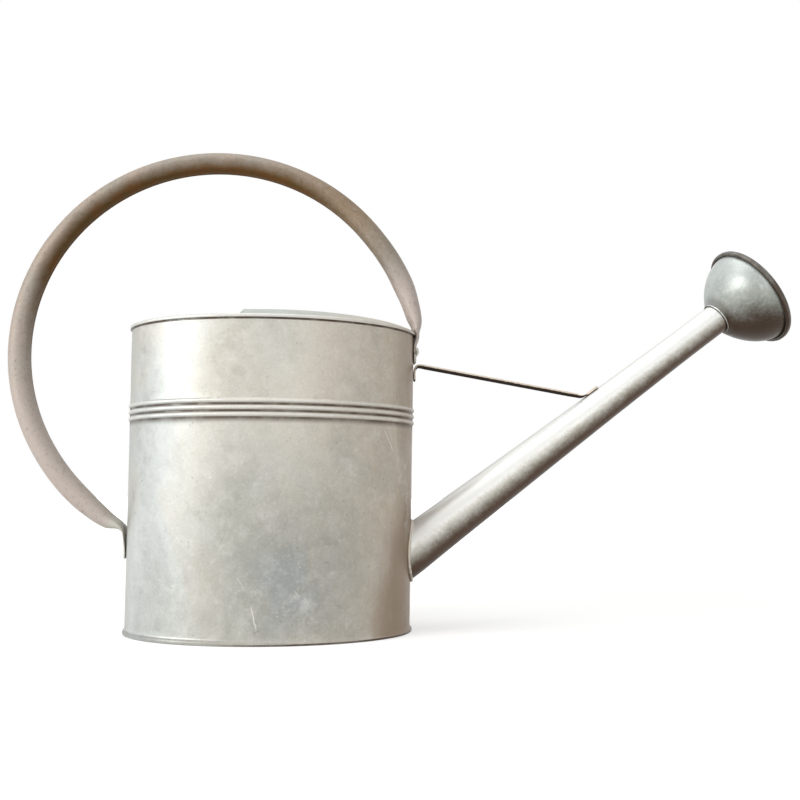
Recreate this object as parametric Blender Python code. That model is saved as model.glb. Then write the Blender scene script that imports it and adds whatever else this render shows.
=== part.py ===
"""Galvanised watering can: oval body, half hood, hoop handle, braced spout and a push-on rose.

Metres, +Z up, +X towards the rose. The pieces are laid out about the middle of the oval body, and
one empty moves them all so that the origin is at the middle of the whole can's box, on its foot.
"""
import math

import bmesh
import bpy
from mathutils import Vector

MM = 0.001

# Sheet and fits
SHEET = 0.8 * MM
SEAT_GAP = 0.3 * MM

# Oval body
BODY_HEIGHT = 276.0 * MM
BASE_HALF_LENGTH = 128.0 * MM
BASE_HALF_DEPTH = 84.5 * MM
RIM_HALF_LENGTH = 131.0 * MM
RIM_HALF_DEPTH = 86.5 * MM
OVAL_COLUMNS = 44
FOOT_PROUD = 1.9 * MM
FOOT_HEIGHT = 6.0 * MM
HEM_RADIUS = 1.8 * MM
RIB_HEIGHT = 1.3 * MM
RIB_WIDTH = 4.6 * MM
RIB_PITCH = 5.9 * MM
RIB_COUNT = 3
RIB_MIDDLE_DROP = 79.7 * MM
RIB_MIDDLE_Z = BODY_HEIGHT - RIB_MIDDLE_DROP
LAP_HALF_WIDTH = 4.0 * MM
LAP_BEVEL = 0.8 * MM
LAP_LOW_Z = 12.0 * MM

# Base plate, recessed above the foot
PLATE_Z = 7.0 * MM
PLATE_CORNER = 2.0 * MM
FLANGE_LIFT = 1.0 * MM

# Half hood over the spout side
HOOD_CROWN = 17.3 * MM
HOOD_FADE = 0.6
HOOD_EDGE_X = -24.5 * MM
HOOD_SKIRT = 9.0 * MM
HOOD_EDGE_RADIUS = 1.3 * MM
HOOD_ROLL_REACH = 0.965

# Hoop handle, rolled from sheet with its seam on the inside of the hoop
HOOP_X = -50.2 * MM
HOOP_DROP = 20.0 * MM
HOOP_Z = BODY_HEIGHT - HOOP_DROP
HOOP_RADIUS = 182.4 * MM
HOOP_FRONT_FLARE = 4.2 * MM
HOOP_BACK_FLARE = 3.0 * MM
TUBE_RADIUS = 10.0 * MM
TUBE_SHEET = 0.9 * MM
SEAM_HALF_ANGLE = 0.07
TAB_HALF_WIDTH = 14.0 * MM
TAB_HALF_THICKNESS = 1.25 * MM
UPPER_TAB_LOW_DROP = 28.0 * MM
UPPER_TAB_LOW_Z = BODY_HEIGHT - UPPER_TAB_LOW_DROP
LOWER_TAB_TOP_DROP = 189.0 * MM
LOWER_TAB_TOP_Z = BODY_HEIGHT - LOWER_TAB_TOP_DROP
LOWER_TAB_LOW_DROP = 210.5 * MM
LOWER_TAB_LOW_Z = BODY_HEIGHT - LOWER_TAB_LOW_DROP
TAB_END_CHAMFER = 2.5 * MM
TAB_END_SHARE = 0.8
HEM_BEND_SHARE = 1.3
HOOP_STEP = math.radians(6.0)
HOOP_ROUND_FROM = math.radians(22.0)
HOOP_ROUND_TO = math.radians(228.0)
HOOP_LAST_TURN = math.radians(246.0)
HOOP_FLARE_TURN = math.radians(38.0)

# The hoop flattens towards its ends: turn in degrees, half thickness and half width
UPPER_TAPER = ((11.0, 7.0 * MM, 12.0 * MM), (16.0, 8.5 * MM, 10.8 * MM))
LOWER_TAPER = ((234.5, 8.9 * MM, 10.8 * MM), (239.0, 7.2 * MM, 12.0 * MM))

# Bends into the tabs: shift out, lift over the rim or tab, heading in degrees, half thickness,
# share of the tab's width and share of the body's curve
UPPER_BEND = ((0.6 * MM, 2.4 * MM, 90, 3.9 * MM, 0.97, 0.6), (1.5 * MM, 7.0 * MM, 93, 5.4 * MM, 0.94, 0.3))
LOWER_BEND = ((5.2 * MM, 6.0 * MM, -46, 4.2 * MM, 0.95, 0.4), (2.6 * MM, 1.6 * MM, -70, 1.9 * MM, 1.0, 1.0),
              (1.7 * MM, -3.4 * MM, -86, 1.25 * MM, 1.0, 1.0))

# Rivets through the upper tab
RIVET_DROP = 17.5 * MM
RIVET_Z = BODY_HEIGHT - RIVET_DROP
RIVET_SPACING = 15.0 * MM
RIVET_SHANK = 1.5 * MM
RIVET_HEAD = 4.0 * MM
RIVET_HEAD_HEIGHT = 2.0 * MM
RIVET_TAIL = 3.0 * MM
RIVET_TAIL_HEIGHT = 1.0 * MM
RIVET_SIDES = 10

# Spout, a tube whose taper fades out towards the tip
SPOUT_Z = 72.1 * MM
SPOUT_ANGLE = math.radians(36.76)
SPOUT_BASE_RADIUS = 21.8 * MM
SPOUT_TIP_RADIUS = 14.4 * MM
SPOUT_TAPER_LENGTH = 340.0 * MM
SPOUT_TAPER_POWER = 1.35
SPOUT_LENGTH = 391.0 * MM
SPOUT_SIDES = 28
SOLDER_RADIUS = 2.0 * MM

# Brace rod from the body to the spout
BRACE_RADIUS = 2.3 * MM
BRACE_TAB_LOW_DROP = 45.0 * MM
BRACE_TAB_LOW_Z = BODY_HEIGHT - BRACE_TAB_LOW_DROP
BRACE_WALL_DROP = 30.2 * MM
BRACE_WALL_Z = BODY_HEIGHT - BRACE_WALL_DROP
BRACE_FOOT_AT = 220.5 * MM
BRACE_FOOT_LENGTH = 18.0 * MM
BRACE_FLAT_HALF_WIDTH = 4.5 * MM
BRACE_FLAT_HALF_THICKNESS = 1.0 * MM

# Rose, its bowl knocked a little askew on the neck, which stays in line with the spout
NECK_FROM = 377.4 * MM
NECK_LENGTH = 1.2 * MM
NECK_FLARE = 4.0 * MM
SLEEVE_LENGTH = 10.5 * MM
ROSE_RADIUS = 47.9 * MM
ROSE_DEPTH = 53.2 * MM
ROSE_TAPER_POWER = 1.93
ROSE_RIM_FROM_NECK = 45.0 * MM
ROSE_LEAN = math.radians(2.25)
ROSE_SHIFT = 1.0 * MM
BAND_DEPTH = 5.0 * MM
BAND_THICKNESS = 3.3 * MM
FACE_CROWN = 5.0 * MM
ROSE_SIDES = 32
HOLE_RADIUS = 1.0 * MM
HOLE_RINGS = 5
HOLE_RING_PITCH = 8.0 * MM


def clear_scene():
    for item in list(bpy.data.objects):
        bpy.data.objects.remove(item)


def metal(name, colour, roughness):
    """A metal surface in one colour."""
    material = bpy.data.materials.new(name)
    material.use_nodes = True
    shader = material.node_tree.nodes["Principled BSDF"]
    shader.inputs["Base Color"].default_value = (*colour, 1.0)
    shader.inputs["Metallic"].default_value = 0.85
    shader.inputs["Roughness"].default_value = roughness
    return material


def frame_empty(name, location, turn_about_y=0.0, parent=None):
    empty = bpy.data.objects.new(name, None)
    empty.location = location
    empty.rotation_euler = (0.0, turn_about_y, 0.0)
    empty.parent = parent
    bpy.context.collection.objects.link(empty)
    return empty


def solid(name, verts, faces, parent, material=None, sharp=math.radians(40)):
    """A closed mesh object with its faces pointing out."""
    mesh = bpy.data.meshes.new(name)
    mesh.from_pydata(verts, [], faces)
    shape = bmesh.new()
    shape.from_mesh(mesh)
    bmesh.ops.recalc_face_normals(shape, faces=shape.faces)
    shape.to_mesh(mesh)
    shape.free()
    mesh.shade_smooth()
    mesh.set_sharp_from_angle(angle=sharp)
    thing = bpy.data.objects.new(name, mesh)
    thing.parent = parent
    bpy.context.collection.objects.link(thing)
    if material:
        mesh.materials.append(material)
    else:
        thing.hide_render = True
        thing.display_type = "WIRE"
    return thing


def combine(target, other, operation):
    modifier = target.modifiers.new(f"{operation.lower()}_{other.name}", "BOOLEAN")
    modifier.object = other
    modifier.operation = operation
    modifier.solver = "EXACT"


def loft(rings, joined=False):
    """Faces between rings of equal count: a torus when joined, otherwise with flat ends."""
    count = len(rings[0])
    verts = [point for ring in rings for point in ring]
    faces = []
    rows = len(rings) if joined else len(rings) - 1
    for row in range(rows):
        low = row * count
        high = (row + 1) % len(rings) * count
        for i in range(count):
            j = (i + 1) % count
            faces.append((low + i, low + j, high + j, high + i))
    if not joined:
        top = (len(rings) - 1) * count
        faces.append(tuple(range(count)))
        faces.append(tuple(range(top, top + count)))
    return verts, faces


def turned(profile, sides, joined):
    """Rings of a shape turned about Z, from points of radius and height."""
    rings = []
    for radius, height in profile:
        rings.append([(radius * math.cos(turn), radius * math.sin(turn), height)
                      for turn in (2 * math.pi * i / sides for i in range(sides))])
    return loft(rings, joined)


def swept(path, radius, sides, side_hint, closed):
    """A round bead along a path; side_hint gives a direction across the path at each point."""
    rings = []
    last = len(path) - 1
    for i, point in enumerate(path):
        before = path[i - 1] if closed or i > 0 else path[0]
        after = path[(i + 1) % len(path)] if closed or i < last else path[last]
        along = (after - before).normalized()
        across = side_hint(point)
        across = (across - along * across.dot(along)).normalized()
        other = along.cross(across)
        turns = [2 * math.pi * k / sides for k in range(sides)]
        rings.append([tuple(point + radius * (math.cos(a) * across + math.sin(a) * other)) for a in turns])
    return loft(rings, joined=closed)


# The oval

def half_length(z):
    return BASE_HALF_LENGTH + (RIM_HALF_LENGTH - BASE_HALF_LENGTH) * z / BODY_HEIGHT


def half_depth(z):
    return BASE_HALF_DEPTH + (RIM_HALF_DEPTH - BASE_HALF_DEPTH) * z / BODY_HEIGHT


def end_radius(z):
    """Radius of the oval's curve at its two ends."""
    return half_depth(z) ** 2 / half_length(z)


def oval_turns():
    """Even columns round the oval, with four more at the edges of the side seam's lap."""
    turns = [2 * math.pi * i / OVAL_COLUMNS for i in range(OVAL_COLUMNS)]
    for width in (LAP_HALF_WIDTH, LAP_HALF_WIDTH + LAP_BEVEL):
        reach = math.asin(width / BASE_HALF_DEPTH)
        turns += [math.pi - reach, math.pi + reach]
    return sorted(turns)


def oval_ring(offset, z, share=1.0):
    length = half_length(z) + offset
    depth = half_depth(z) + offset
    return [(share * length * math.cos(turn), share * depth * math.sin(turn), z) for turn in oval_turns()]


def rib_offsets():
    """Offset and height of the swaged ribs, from the lowest up."""
    points = []
    for i in range(RIB_COUNT):
        middle = RIB_MIDDLE_Z + (i - (RIB_COUNT - 1) / 2) * RIB_PITCH
        for side, height in ((-0.5, 0.0), (-0.18, 1.0), (0.18, 1.0), (0.5, 0.0)):
            points.append((height * RIB_HEIGHT, middle + side * RIB_WIDTH))
    return points


def wall_outside():
    points = [(FOOT_PROUD * 0.7, 0.0), (FOOT_PROUD, FOOT_HEIGHT * 0.2), (FOOT_PROUD, FOOT_HEIGHT * 0.65)]
    points += [(0.0, FOOT_HEIGHT)]
    points += rib_offsets()
    middle = BODY_HEIGHT - HEM_RADIUS
    for turn in (-90, -45, 0, 45, 90):
        angle = math.radians(turn)
        points.append((HEM_RADIUS * math.cos(angle), middle + HEM_RADIUS * math.sin(angle)))
    return points


def wall_inside():
    """The inside face from the rim down, as offset, height and whether the lap thickens it."""
    lap_top = BODY_HEIGHT - 3 * HEM_RADIUS
    points = [(-SHEET, BODY_HEIGHT - SHEET, False), (-SHEET, lap_top, False), (-SHEET, lap_top - LAP_BEVEL, True)]
    points += [(offset - SHEET, z, True) for offset, z in reversed(rib_offsets())]
    points += [(-SHEET, LAP_LOW_Z + LAP_BEVEL, True), (-SHEET, LAP_LOW_Z, False), (-SHEET, 0.0, False)]
    return points


def body_wall(frame, material):
    """One rolled sheet: foot bead, three swaged ribs, rolled hem and an inside lap at the handle end."""
    rings = [oval_ring(offset, z) for offset, z in wall_outside()]
    reach = math.asin(LAP_HALF_WIDTH / BASE_HALF_DEPTH) * 1.001
    for offset, z, lapped in wall_inside():
        plain = oval_ring(offset, z)
        thick = oval_ring(offset - SHEET, z)
        ring = [thick[i] if lapped and abs(turn - math.pi) < reach else plain[i]
                for i, turn in enumerate(oval_turns())]
        rings.append(ring)
    verts, faces = loft(rings, joined=True)
    return solid("body_wall", verts, faces, frame, material)


def body_envelope(frame):
    """The room that the wall takes, with the seat gap round it."""
    margin = 30 * MM
    rings = [oval_ring(SEAT_GAP, z) for z in (-margin, BODY_HEIGHT + margin)]
    verts, faces = loft(rings)
    return solid("body_envelope", verts, faces, frame)


def base_plate(frame, material):
    """A pressed plate whose flange stands inside the foot."""
    edge = -SHEET - SEAT_GAP
    rings = [
        oval_ring(edge - PLATE_CORNER, PLATE_Z + SHEET),
        oval_ring(edge - 0.3 * PLATE_CORNER, PLATE_Z + SHEET - 0.3 * PLATE_CORNER),
        oval_ring(edge, PLATE_Z + SHEET - PLATE_CORNER),
        oval_ring(edge, FLANGE_LIFT),
        oval_ring(edge - SHEET, FLANGE_LIFT),
        oval_ring(edge - SHEET, PLATE_Z - PLATE_CORNER),
        oval_ring(edge - SHEET - PLATE_CORNER, PLATE_Z),
    ]
    verts, faces = loft(rings)
    return solid("base_plate", verts, faces, frame, material)


# The hood

def crown_at(share):
    """Rise of the hood's ridge at a share of the way from its middle to either end."""
    return HOOD_CROWN * (1 - share ** 2) ** HOOD_FADE


def hood_point(turn, share, inset):
    """A point of the hood's dome; share runs from 0 at its middle to 1 at its edge."""
    length = half_length(BODY_HEIGHT) - SHEET - SEAT_GAP - inset
    depth = half_depth(BODY_HEIGHT) - SHEET - SEAT_GAP - inset
    x = length * share * math.cos(turn)
    y = depth * share * math.sin(turn)
    if share < 1.0:
        rise = crown_at(x / length) * (1 - share ** 2) / (1 - (x / length) ** 2)
    else:
        rise = 0.0
    return (x, y, BODY_HEIGHT + rise - inset)


def hood_ring(share, inset, drop=0.0):
    points = [hood_point(turn, share, inset) for turn in oval_turns()]
    return [(x, y, z - drop) for x, y, z in points]


def hood_edge_path():
    """The arch of the free edge, along the middle of the sheet."""
    length = half_length(BODY_HEIGHT) - SHEET - SEAT_GAP
    depth = half_depth(BODY_HEIGHT) - SHEET - SEAT_GAP
    edge = depth * math.sqrt(1 - (HOOD_EDGE_X / length) ** 2)
    crown = crown_at(HOOD_EDGE_X / length)
    steps = 16
    path = []
    for i in range(steps + 1):
        y = edge * HOOD_ROLL_REACH * (2 * i / steps - 1)
        z = BODY_HEIGHT + crown * (1 - (y / edge) ** 2) - SHEET / 2
        path.append(Vector((HOOD_EDGE_X, y, z)))
    return path


def hood(frame, material):
    """A domed half cover, its skirt soldered inside the rim and its free edge rolled."""
    shares = (0.12, 0.35, 0.58, 0.78, 0.92, 0.985, 1.0)
    rings = [hood_ring(share, 0.0) for share in shares]
    rings += [hood_ring(1.0, 0.0, HOOD_SKIRT), hood_ring(1.0, SHEET, HOOD_SKIRT - SHEET)]
    rings += [hood_ring(share, SHEET) for share in reversed(shares)]
    verts, faces = loft(rings)
    cover = solid("hood", verts, faces, frame, material)

    reach = 2 * RIM_HALF_LENGTH
    low, high = BODY_HEIGHT - reach / 2, BODY_HEIGHT + reach / 2
    corners = [(-reach, -reach), (HOOD_EDGE_X, -reach), (HOOD_EDGE_X, reach), (-reach, reach)]
    verts, faces = loft([[(x, y, z) for x, y in corners] for z in (low, high)])
    combine(cover, solid("hood_mouth_cut", verts, faces, frame), "DIFFERENCE")

    verts, faces = swept(hood_edge_path(), HOOD_EDGE_RADIUS, 8, lambda point: Vector((1, 0, 0)), False)
    combine(cover, solid("hood_edge_roll", verts, faces, frame), "UNION")
    return cover


# The handle

def tube_section(x, z, heading, thickness, width, bend):
    """One section of the rolled tube, open along its seam, bent to the body's end where bend is 1."""
    inward = (math.cos(heading + math.pi / 2), math.sin(heading + math.pi / 2))
    flat = 1.0 - (thickness - TAB_HALF_THICKNESS) / (TUBE_RADIUS - TAB_HALF_THICKNESS)
    power = 2 / (2 + 0.6 * max(flat, 0.0))
    outer_steps, inner_steps = 14, 8
    points = []
    for steps, inset, forward in ((outer_steps, 0.0, True), (inner_steps, TUBE_SHEET, False)):
        for i in range(steps + 1):
            share = i / steps if forward else 1 - i / steps
            turn = SEAM_HALF_ANGLE + share * (2 * math.pi - 2 * SEAM_HALF_ANGLE)
            cosine, sine = math.cos(turn), math.sin(turn)
            across = math.copysign(abs(cosine) ** power, cosine) * (thickness - inset)
            y = math.copysign(abs(sine) ** power, sine) * (width - inset)
            across += bend * y * y / (2 * end_radius(z))
            points.append((x + across * inward[0], y, z + across * inward[1]))
    return points


def hoop_point(turn):
    """A point of the hoop's middle line, which opens out a little towards both ends."""
    front = max(0.0, 1 - turn / HOOP_FLARE_TURN)
    back = max(0.0, 1 - (HOOP_LAST_TURN - turn) / HOOP_FLARE_TURN)
    radius = HOOP_RADIUS + HOOP_FRONT_FLARE * front + HOOP_BACK_FLARE * back ** 2
    return HOOP_X + radius * math.cos(turn), HOOP_Z + radius * math.sin(turn)


def tab_x(z):
    """Distance from the body's middle to the middle of a tab that lies on the wall."""
    return half_length(z) + SEAT_GAP + TAB_HALF_THICKNESS


def tab_end(side, z, heading, lift):
    """The two sections at a tab's free end, the outermost one narrowed; side is 1 or -1."""
    thin, wide = TAB_HALF_THICKNESS, TAB_HALF_WIDTH
    return [
        (side * tab_x(z), z, heading, TAB_END_SHARE * thin, TAB_END_SHARE * wide, 1.0),
        (side * tab_x(z), z + lift, heading, thin, wide, 1.0),
    ]


def taper_stations(table):
    stations = []
    for turn, thickness, width in table:
        x, z = hoop_point(math.radians(turn))
        stations.append((x, z, math.radians(turn + 90), thickness, width, 0.0))
    return stations


def bend_stations(table, side, x, z):
    """Sections of a bend, laid out from a tab's middle at x and z."""
    return [(side * (x + out), z + lift, math.radians(heading), thickness, width * TAB_HALF_WIDTH, bend)
            for out, lift, heading, thickness, width, bend in table]


def handle_stations():
    """Middle, heading, half thickness, half width and bend of each section, from the upper tab round."""
    thin, wide = TAB_HALF_THICKNESS, TAB_HALF_WIDTH
    up, down = math.pi / 2, -math.pi / 2
    over_rivets = RIVET_Z + RIVET_HEAD + 3 * SEAT_GAP
    over_hem = half_length(BODY_HEIGHT) + HEM_RADIUS + SEAT_GAP
    bent = HEM_BEND_SHARE * thin
    stations = tab_end(1, UPPER_TAB_LOW_Z, up, TAB_END_CHAMFER)
    stations += [
        (tab_x(over_rivets), over_rivets, up, thin, wide, 1.0),
        (over_hem + bent, BODY_HEIGHT - 2 * HEM_RADIUS, up, bent, wide, 1.0),
        (over_hem + bent, BODY_HEIGHT, up, bent, wide, 1.0),
    ]
    stations += bend_stations(UPPER_BEND, 1, over_hem, BODY_HEIGHT)
    stations += taper_stations(UPPER_TAPER)
    steps = round((HOOP_ROUND_TO - HOOP_ROUND_FROM) / HOOP_STEP)
    for i in range(steps + 1):
        turn = HOOP_ROUND_FROM + (HOOP_ROUND_TO - HOOP_ROUND_FROM) * i / steps
        stations.append((*hoop_point(turn), turn + up, TUBE_RADIUS, TUBE_RADIUS, 0.0))
    stations += taper_stations(LOWER_TAPER)
    stations += bend_stations(LOWER_BEND, -1, tab_x(LOWER_TAB_TOP_Z), LOWER_TAB_TOP_Z)
    stations += tab_end(-1, LOWER_TAB_LOW_Z, down, TAB_END_CHAMFER)[::-1]
    return stations


def handle(frame, material):
    """A hoop of rolled tube, flattened and bent at each end into a tab on the body."""
    verts, faces = loft([tube_section(*station) for station in handle_stations()])
    return solid("handle", verts, faces, frame, material, math.radians(50))


def rivet_frame(name, side, frame):
    """An empty on the wall's outer face at a rivet, its Z pointing straight out of the wall."""
    depth, length = half_depth(RIVET_Z), half_length(RIVET_Z)
    turn = math.asin(side * RIVET_SPACING / 2 / depth)
    outward = Vector((math.cos(turn) / length, math.sin(turn) / depth, 0.0))
    empty = frame_empty(name, (length * math.cos(turn), depth * math.sin(turn), RIVET_Z), 0.0, frame)
    empty.rotation_euler = outward.to_track_quat("Z", "Y").to_euler()
    return empty


def rivet(name, seat, material):
    """A round-headed rivet: head outside the tab, shank, and a set tail inside the wall."""
    under_head = 2 * SEAT_GAP + 2 * TAB_HALF_THICKNESS
    column_sag = half_length(RIVET_Z) * (1 - math.cos(math.pi / OVAL_COLUMNS))
    tail = -SHEET - SEAT_GAP - column_sag
    profile = [(RIVET_TAIL * 0.7, tail - RIVET_TAIL_HEIGHT), (RIVET_TAIL, tail - 0.5 * RIVET_TAIL_HEIGHT)]
    profile += [(RIVET_TAIL, tail), (RIVET_SHANK, tail), (RIVET_SHANK, under_head), (RIVET_HEAD, under_head)]
    for turn in (30, 60):
        angle = math.radians(turn)
        profile.append((RIVET_HEAD * math.cos(angle), under_head + RIVET_HEAD_HEIGHT * math.sin(angle)))
    profile.append((RIVET_HEAD * 0.2, under_head + RIVET_HEAD_HEIGHT))
    verts, faces = turned(profile, RIVET_SIDES, joined=False)
    return solid(name, verts, faces, seat, material)


def rivet_hole(name, seat):
    reach = 3 * (SHEET + TAB_HALF_THICKNESS)
    radius = RIVET_SHANK + SEAT_GAP
    verts, faces = turned([(radius, -reach), (radius, reach)], RIVET_SIDES, joined=False)
    return solid(name, verts, faces, seat)


# The spout

def spout_radius(along):
    left = min(max(1 - along / SPOUT_TAPER_LENGTH, 0.0), 1.0)
    return SPOUT_TIP_RADIUS + (SPOUT_BASE_RADIUS - SPOUT_TIP_RADIUS) * left ** SPOUT_TAPER_POWER


def spout_profile(inset, overrun):
    """Radius and distance along the spout, from inside the body to past the tip by overrun."""
    points = [(SPOUT_BASE_RADIUS - inset, -60 * MM)]
    steps = 9
    for i in range(steps + 1):
        along = SPOUT_TAPER_LENGTH * i / steps
        points.append((spout_radius(along) - inset, along))
    points.append((SPOUT_TIP_RADIUS - inset, SPOUT_LENGTH + overrun))
    return points


def spout_to_can(point):
    """A point of the spout's own frame, Z along the spout, in the can's frame."""
    x, y, along = point
    return Vector((
        half_length(SPOUT_Z) + along * math.cos(SPOUT_ANGLE) + x * math.sin(SPOUT_ANGLE),
        y,
        SPOUT_Z + along * math.sin(SPOUT_ANGLE) - x * math.cos(SPOUT_ANGLE),
    ))


def outside_body(point):
    x, y, z = spout_to_can(point)
    return (x / half_length(z)) ** 2 + (y / half_depth(z)) ** 2 > 1.0


def joint_line():
    """Where the spout's outside meets the wall, in the spout's frame, found by halving."""
    path = []
    for i in range(SPOUT_SIDES):
        turn = 2 * math.pi * (i + 0.5) / SPOUT_SIDES
        inner, outer = -55 * MM, 80 * MM
        for _ in range(30):
            middle = (inner + outer) / 2
            radius = spout_radius(middle)
            if outside_body((radius * math.cos(turn), radius * math.sin(turn), middle)):
                outer = middle
            else:
                inner = middle
        path.append(Vector((radius * math.cos(turn), radius * math.sin(turn), middle)))
    return path


def spout(spout_frame, envelope, bore, material):
    """The tapered tube with its bead of solder, cut to sit on the wall."""
    verts, faces = turned(spout_profile(0.0, 0.0), SPOUT_SIDES, joined=False)
    tube = solid("spout", verts, faces, spout_frame, material)
    verts, faces = swept(joint_line(), SOLDER_RADIUS, 8, lambda point: Vector((point.x, point.y, 0)), True)
    combine(tube, solid("solder_bead", verts, faces, spout_frame), "UNION")
    combine(tube, bore, "DIFFERENCE")
    combine(tube, envelope, "DIFFERENCE")
    return tube


def spout_bore(spout_frame):
    verts, faces = turned(spout_profile(SHEET, 20 * MM), SPOUT_SIDES, joined=False)
    return solid("spout_bore_cut", verts, faces, spout_frame)


# The brace

def spout_top(along, lift):
    """A point above the spout's top line, and lift clear of it, as x and z."""
    point = spout_to_can((-(spout_radius(along) + lift), 0.0, along))
    return point.x, point.z


def brace_section(x, z, heading, flatness):
    """One section of the rod: round where flatness is 0, a flat strap where it is 1."""
    inward = (math.cos(heading + math.pi / 2), math.sin(heading + math.pi / 2))
    thickness = BRACE_RADIUS + (BRACE_FLAT_HALF_THICKNESS - BRACE_RADIUS) * flatness
    width = BRACE_RADIUS + (BRACE_FLAT_HALF_WIDTH - BRACE_RADIUS) * flatness
    power = 2 / (2 + 2 * flatness)
    points = []
    for i in range(12):
        turn = 2 * math.pi * (i + 0.5) / 12
        cosine, sine = math.cos(turn), math.sin(turn)
        across = math.copysign(abs(cosine) ** power, cosine) * thickness
        y = math.copysign(abs(sine) ** power, sine) * width
        points.append((x + across * inward[0], y, z + across * inward[1]))
    return points


def brace(frame, material):
    """A rod flattened at both ends: one end bent down the wall, the other laid along the spout."""
    wall = half_length(BRACE_TAB_LOW_Z) + SEAT_GAP + 1.25 * BRACE_FLAT_HALF_THICKNESS
    flat_lift = SEAT_GAP + BRACE_FLAT_HALF_THICKNESS
    foot = [spout_top(BRACE_FOOT_AT + share * BRACE_FOOT_LENGTH, flat_lift) for share in (0.2, 0.9, 1.0)]
    lead = spout_top(BRACE_FOOT_AT, flat_lift + 0.5 * BRACE_RADIUS)
    start = (wall + 2 * BRACE_RADIUS, BRACE_WALL_Z)
    slope = math.atan2(lead[1] - start[1], lead[0] - start[0])
    length = math.hypot(lead[0] - start[0], lead[1] - start[1])

    def on_rod(distance):
        return start[0] + distance * math.cos(slope), start[1] + distance * math.sin(slope)

    tab, rod = BRACE_TAB_LOW_Z, BRACE_RADIUS
    stations = [
        (wall, tab, math.pi / 2, 0.8),
        (wall, tab + 0.7 * rod, math.pi / 2, 1.0),
        (wall, BRACE_WALL_Z - 2.8 * rod, math.pi / 2, 1.0),
        (wall + 0.4 * rod, BRACE_WALL_Z - 1.2 * rod, math.radians(70), 0.8),
        (wall + 1.1 * rod, BRACE_WALL_Z - 0.3 * rod, math.radians(30), 0.45),
        (*on_rod(rod), slope, 0.1),
        (*on_rod(2.4 * rod), slope, 0.0),
        (*on_rod(length - 6 * rod), slope, 0.0),
        (*on_rod(length - 2.4 * rod), slope + 0.05, 0.2),
        (*lead, slope + (SPOUT_ANGLE - slope) * 0.45, 0.6),
        (*foot[0], SPOUT_ANGLE, 1.0),
        (*foot[1], SPOUT_ANGLE, 1.0),
        (*foot[2], SPOUT_ANGLE, 0.8),
    ]
    verts, faces = loft([brace_section(*station) for station in stations])
    return solid("brace", verts, faces, frame, material)


# The rose

def leaned(point, share=1.0):
    """A point of the rose tipped about the neck's end and pushed across, in full or in part."""
    x, y, along = point
    cosine, sine = math.cos(ROSE_LEAN * share), math.sin(ROSE_LEAN * share)
    up = along - NECK_FROM
    return (x * cosine + up * sine + ROSE_SHIFT * share, y, NECK_FROM + up * cosine - x * sine)


def bowl_line():
    """Outer line of the bowl from the neck's flare to the rim, as radius and distance along."""
    rim = NECK_FROM + ROSE_RIM_FROM_NECK
    flare = SPOUT_TIP_RADIUS + SEAT_GAP + SHEET + NECK_FLARE
    meet = math.acos((flare / ROSE_RADIUS) ** (1 / ROSE_TAPER_POWER))
    steps = 8
    line = []
    for i in range(steps + 1):
        turn = meet * (1 - i / steps)
        line.append((ROSE_RADIUS * math.cos(turn) ** ROSE_TAPER_POWER, rim - ROSE_DEPTH * math.sin(turn)))
    return line


def shell_inside(points, thickness):
    """The line moved square to itself by the thickness, towards the axis side, in reverse order."""
    moved = []
    for i, (radius, along) in enumerate(points):
        before = points[max(i - 1, 0)]
        after = points[min(i + 1, len(points) - 1)]
        step = Vector((after[0] - before[0], after[1] - before[1])).normalized()
        moved.append((radius - thickness * step.y, along + thickness * step.x))
    moved[-1] = (points[-1][0] - thickness, points[-1][1])
    return moved[::-1]


def rose_dome(spout_frame, material):
    """A spun bowl, leaning on the sleeve that pushes over the spout's tip."""
    bore = SPOUT_TIP_RADIUS + SEAT_GAP
    neck = bore + SHEET
    line = bowl_line()
    outside = [(neck + 0.3 * MM, NECK_FROM), (neck, NECK_FROM + 0.4 * NECK_LENGTH),
               (neck, NECK_FROM + NECK_LENGTH), (neck + 0.3 * NECK_FLARE, NECK_FROM + 1.6 * NECK_LENGTH)]
    sleeve = [(neck + 0.6 * SHEET, NECK_FROM + 2 * NECK_LENGTH + SHEET),
              (neck, NECK_FROM + 3 * NECK_LENGTH + SHEET), (neck, NECK_FROM + SLEEVE_LENGTH),
              (bore, NECK_FROM + SLEEVE_LENGTH), (bore, NECK_FROM)]
    profile = outside + line + shell_inside(line, SHEET) + sleeve
    verts, faces = turned(profile, ROSE_SIDES, joined=True)
    moved = []
    for vert in verts:
        beyond = math.hypot(vert[0], vert[1]) - neck - SHEET
        moved.append(leaned(vert, min(max(beyond / (NECK_FLARE - SHEET), 0.0), 1.0)))
    return solid("rose_dome", moved, faces, spout_frame, material)


def face_height(radius):
    """Distance along the spout of the face's outer skin at a radius."""
    rim = NECK_FROM + ROSE_RIM_FROM_NECK + SEAT_GAP + SHEET
    return rim + FACE_CROWN * (1 - (radius / ROSE_RADIUS) ** 2)


def rose_face_profile():
    """The plate with its edge rolled down over the bowl's rim, as radius and distance along."""
    rim = NECK_FROM + ROSE_RIM_FROM_NECK
    inner = ROSE_RADIUS + SEAT_GAP
    outer = inner + BAND_THICKNESS
    radii = [ROSE_RADIUS * share for share in (0.05, 0.4, 0.7, 0.97)]
    profile = [(radius, face_height(radius)) for radius in radii]
    profile += [(inner + 0.4 * BAND_THICKNESS, rim + SHEET), (outer, rim - 0.2 * BAND_DEPTH)]
    profile += [(outer, rim - 0.8 * BAND_DEPTH), (inner + 0.5 * BAND_THICKNESS, rim - BAND_DEPTH)]
    profile += [(inner, rim - 0.9 * BAND_DEPTH), (inner, rim + SEAT_GAP)]
    return profile + [(radius, face_height(radius) - SHEET) for radius in reversed(radii)]


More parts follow.
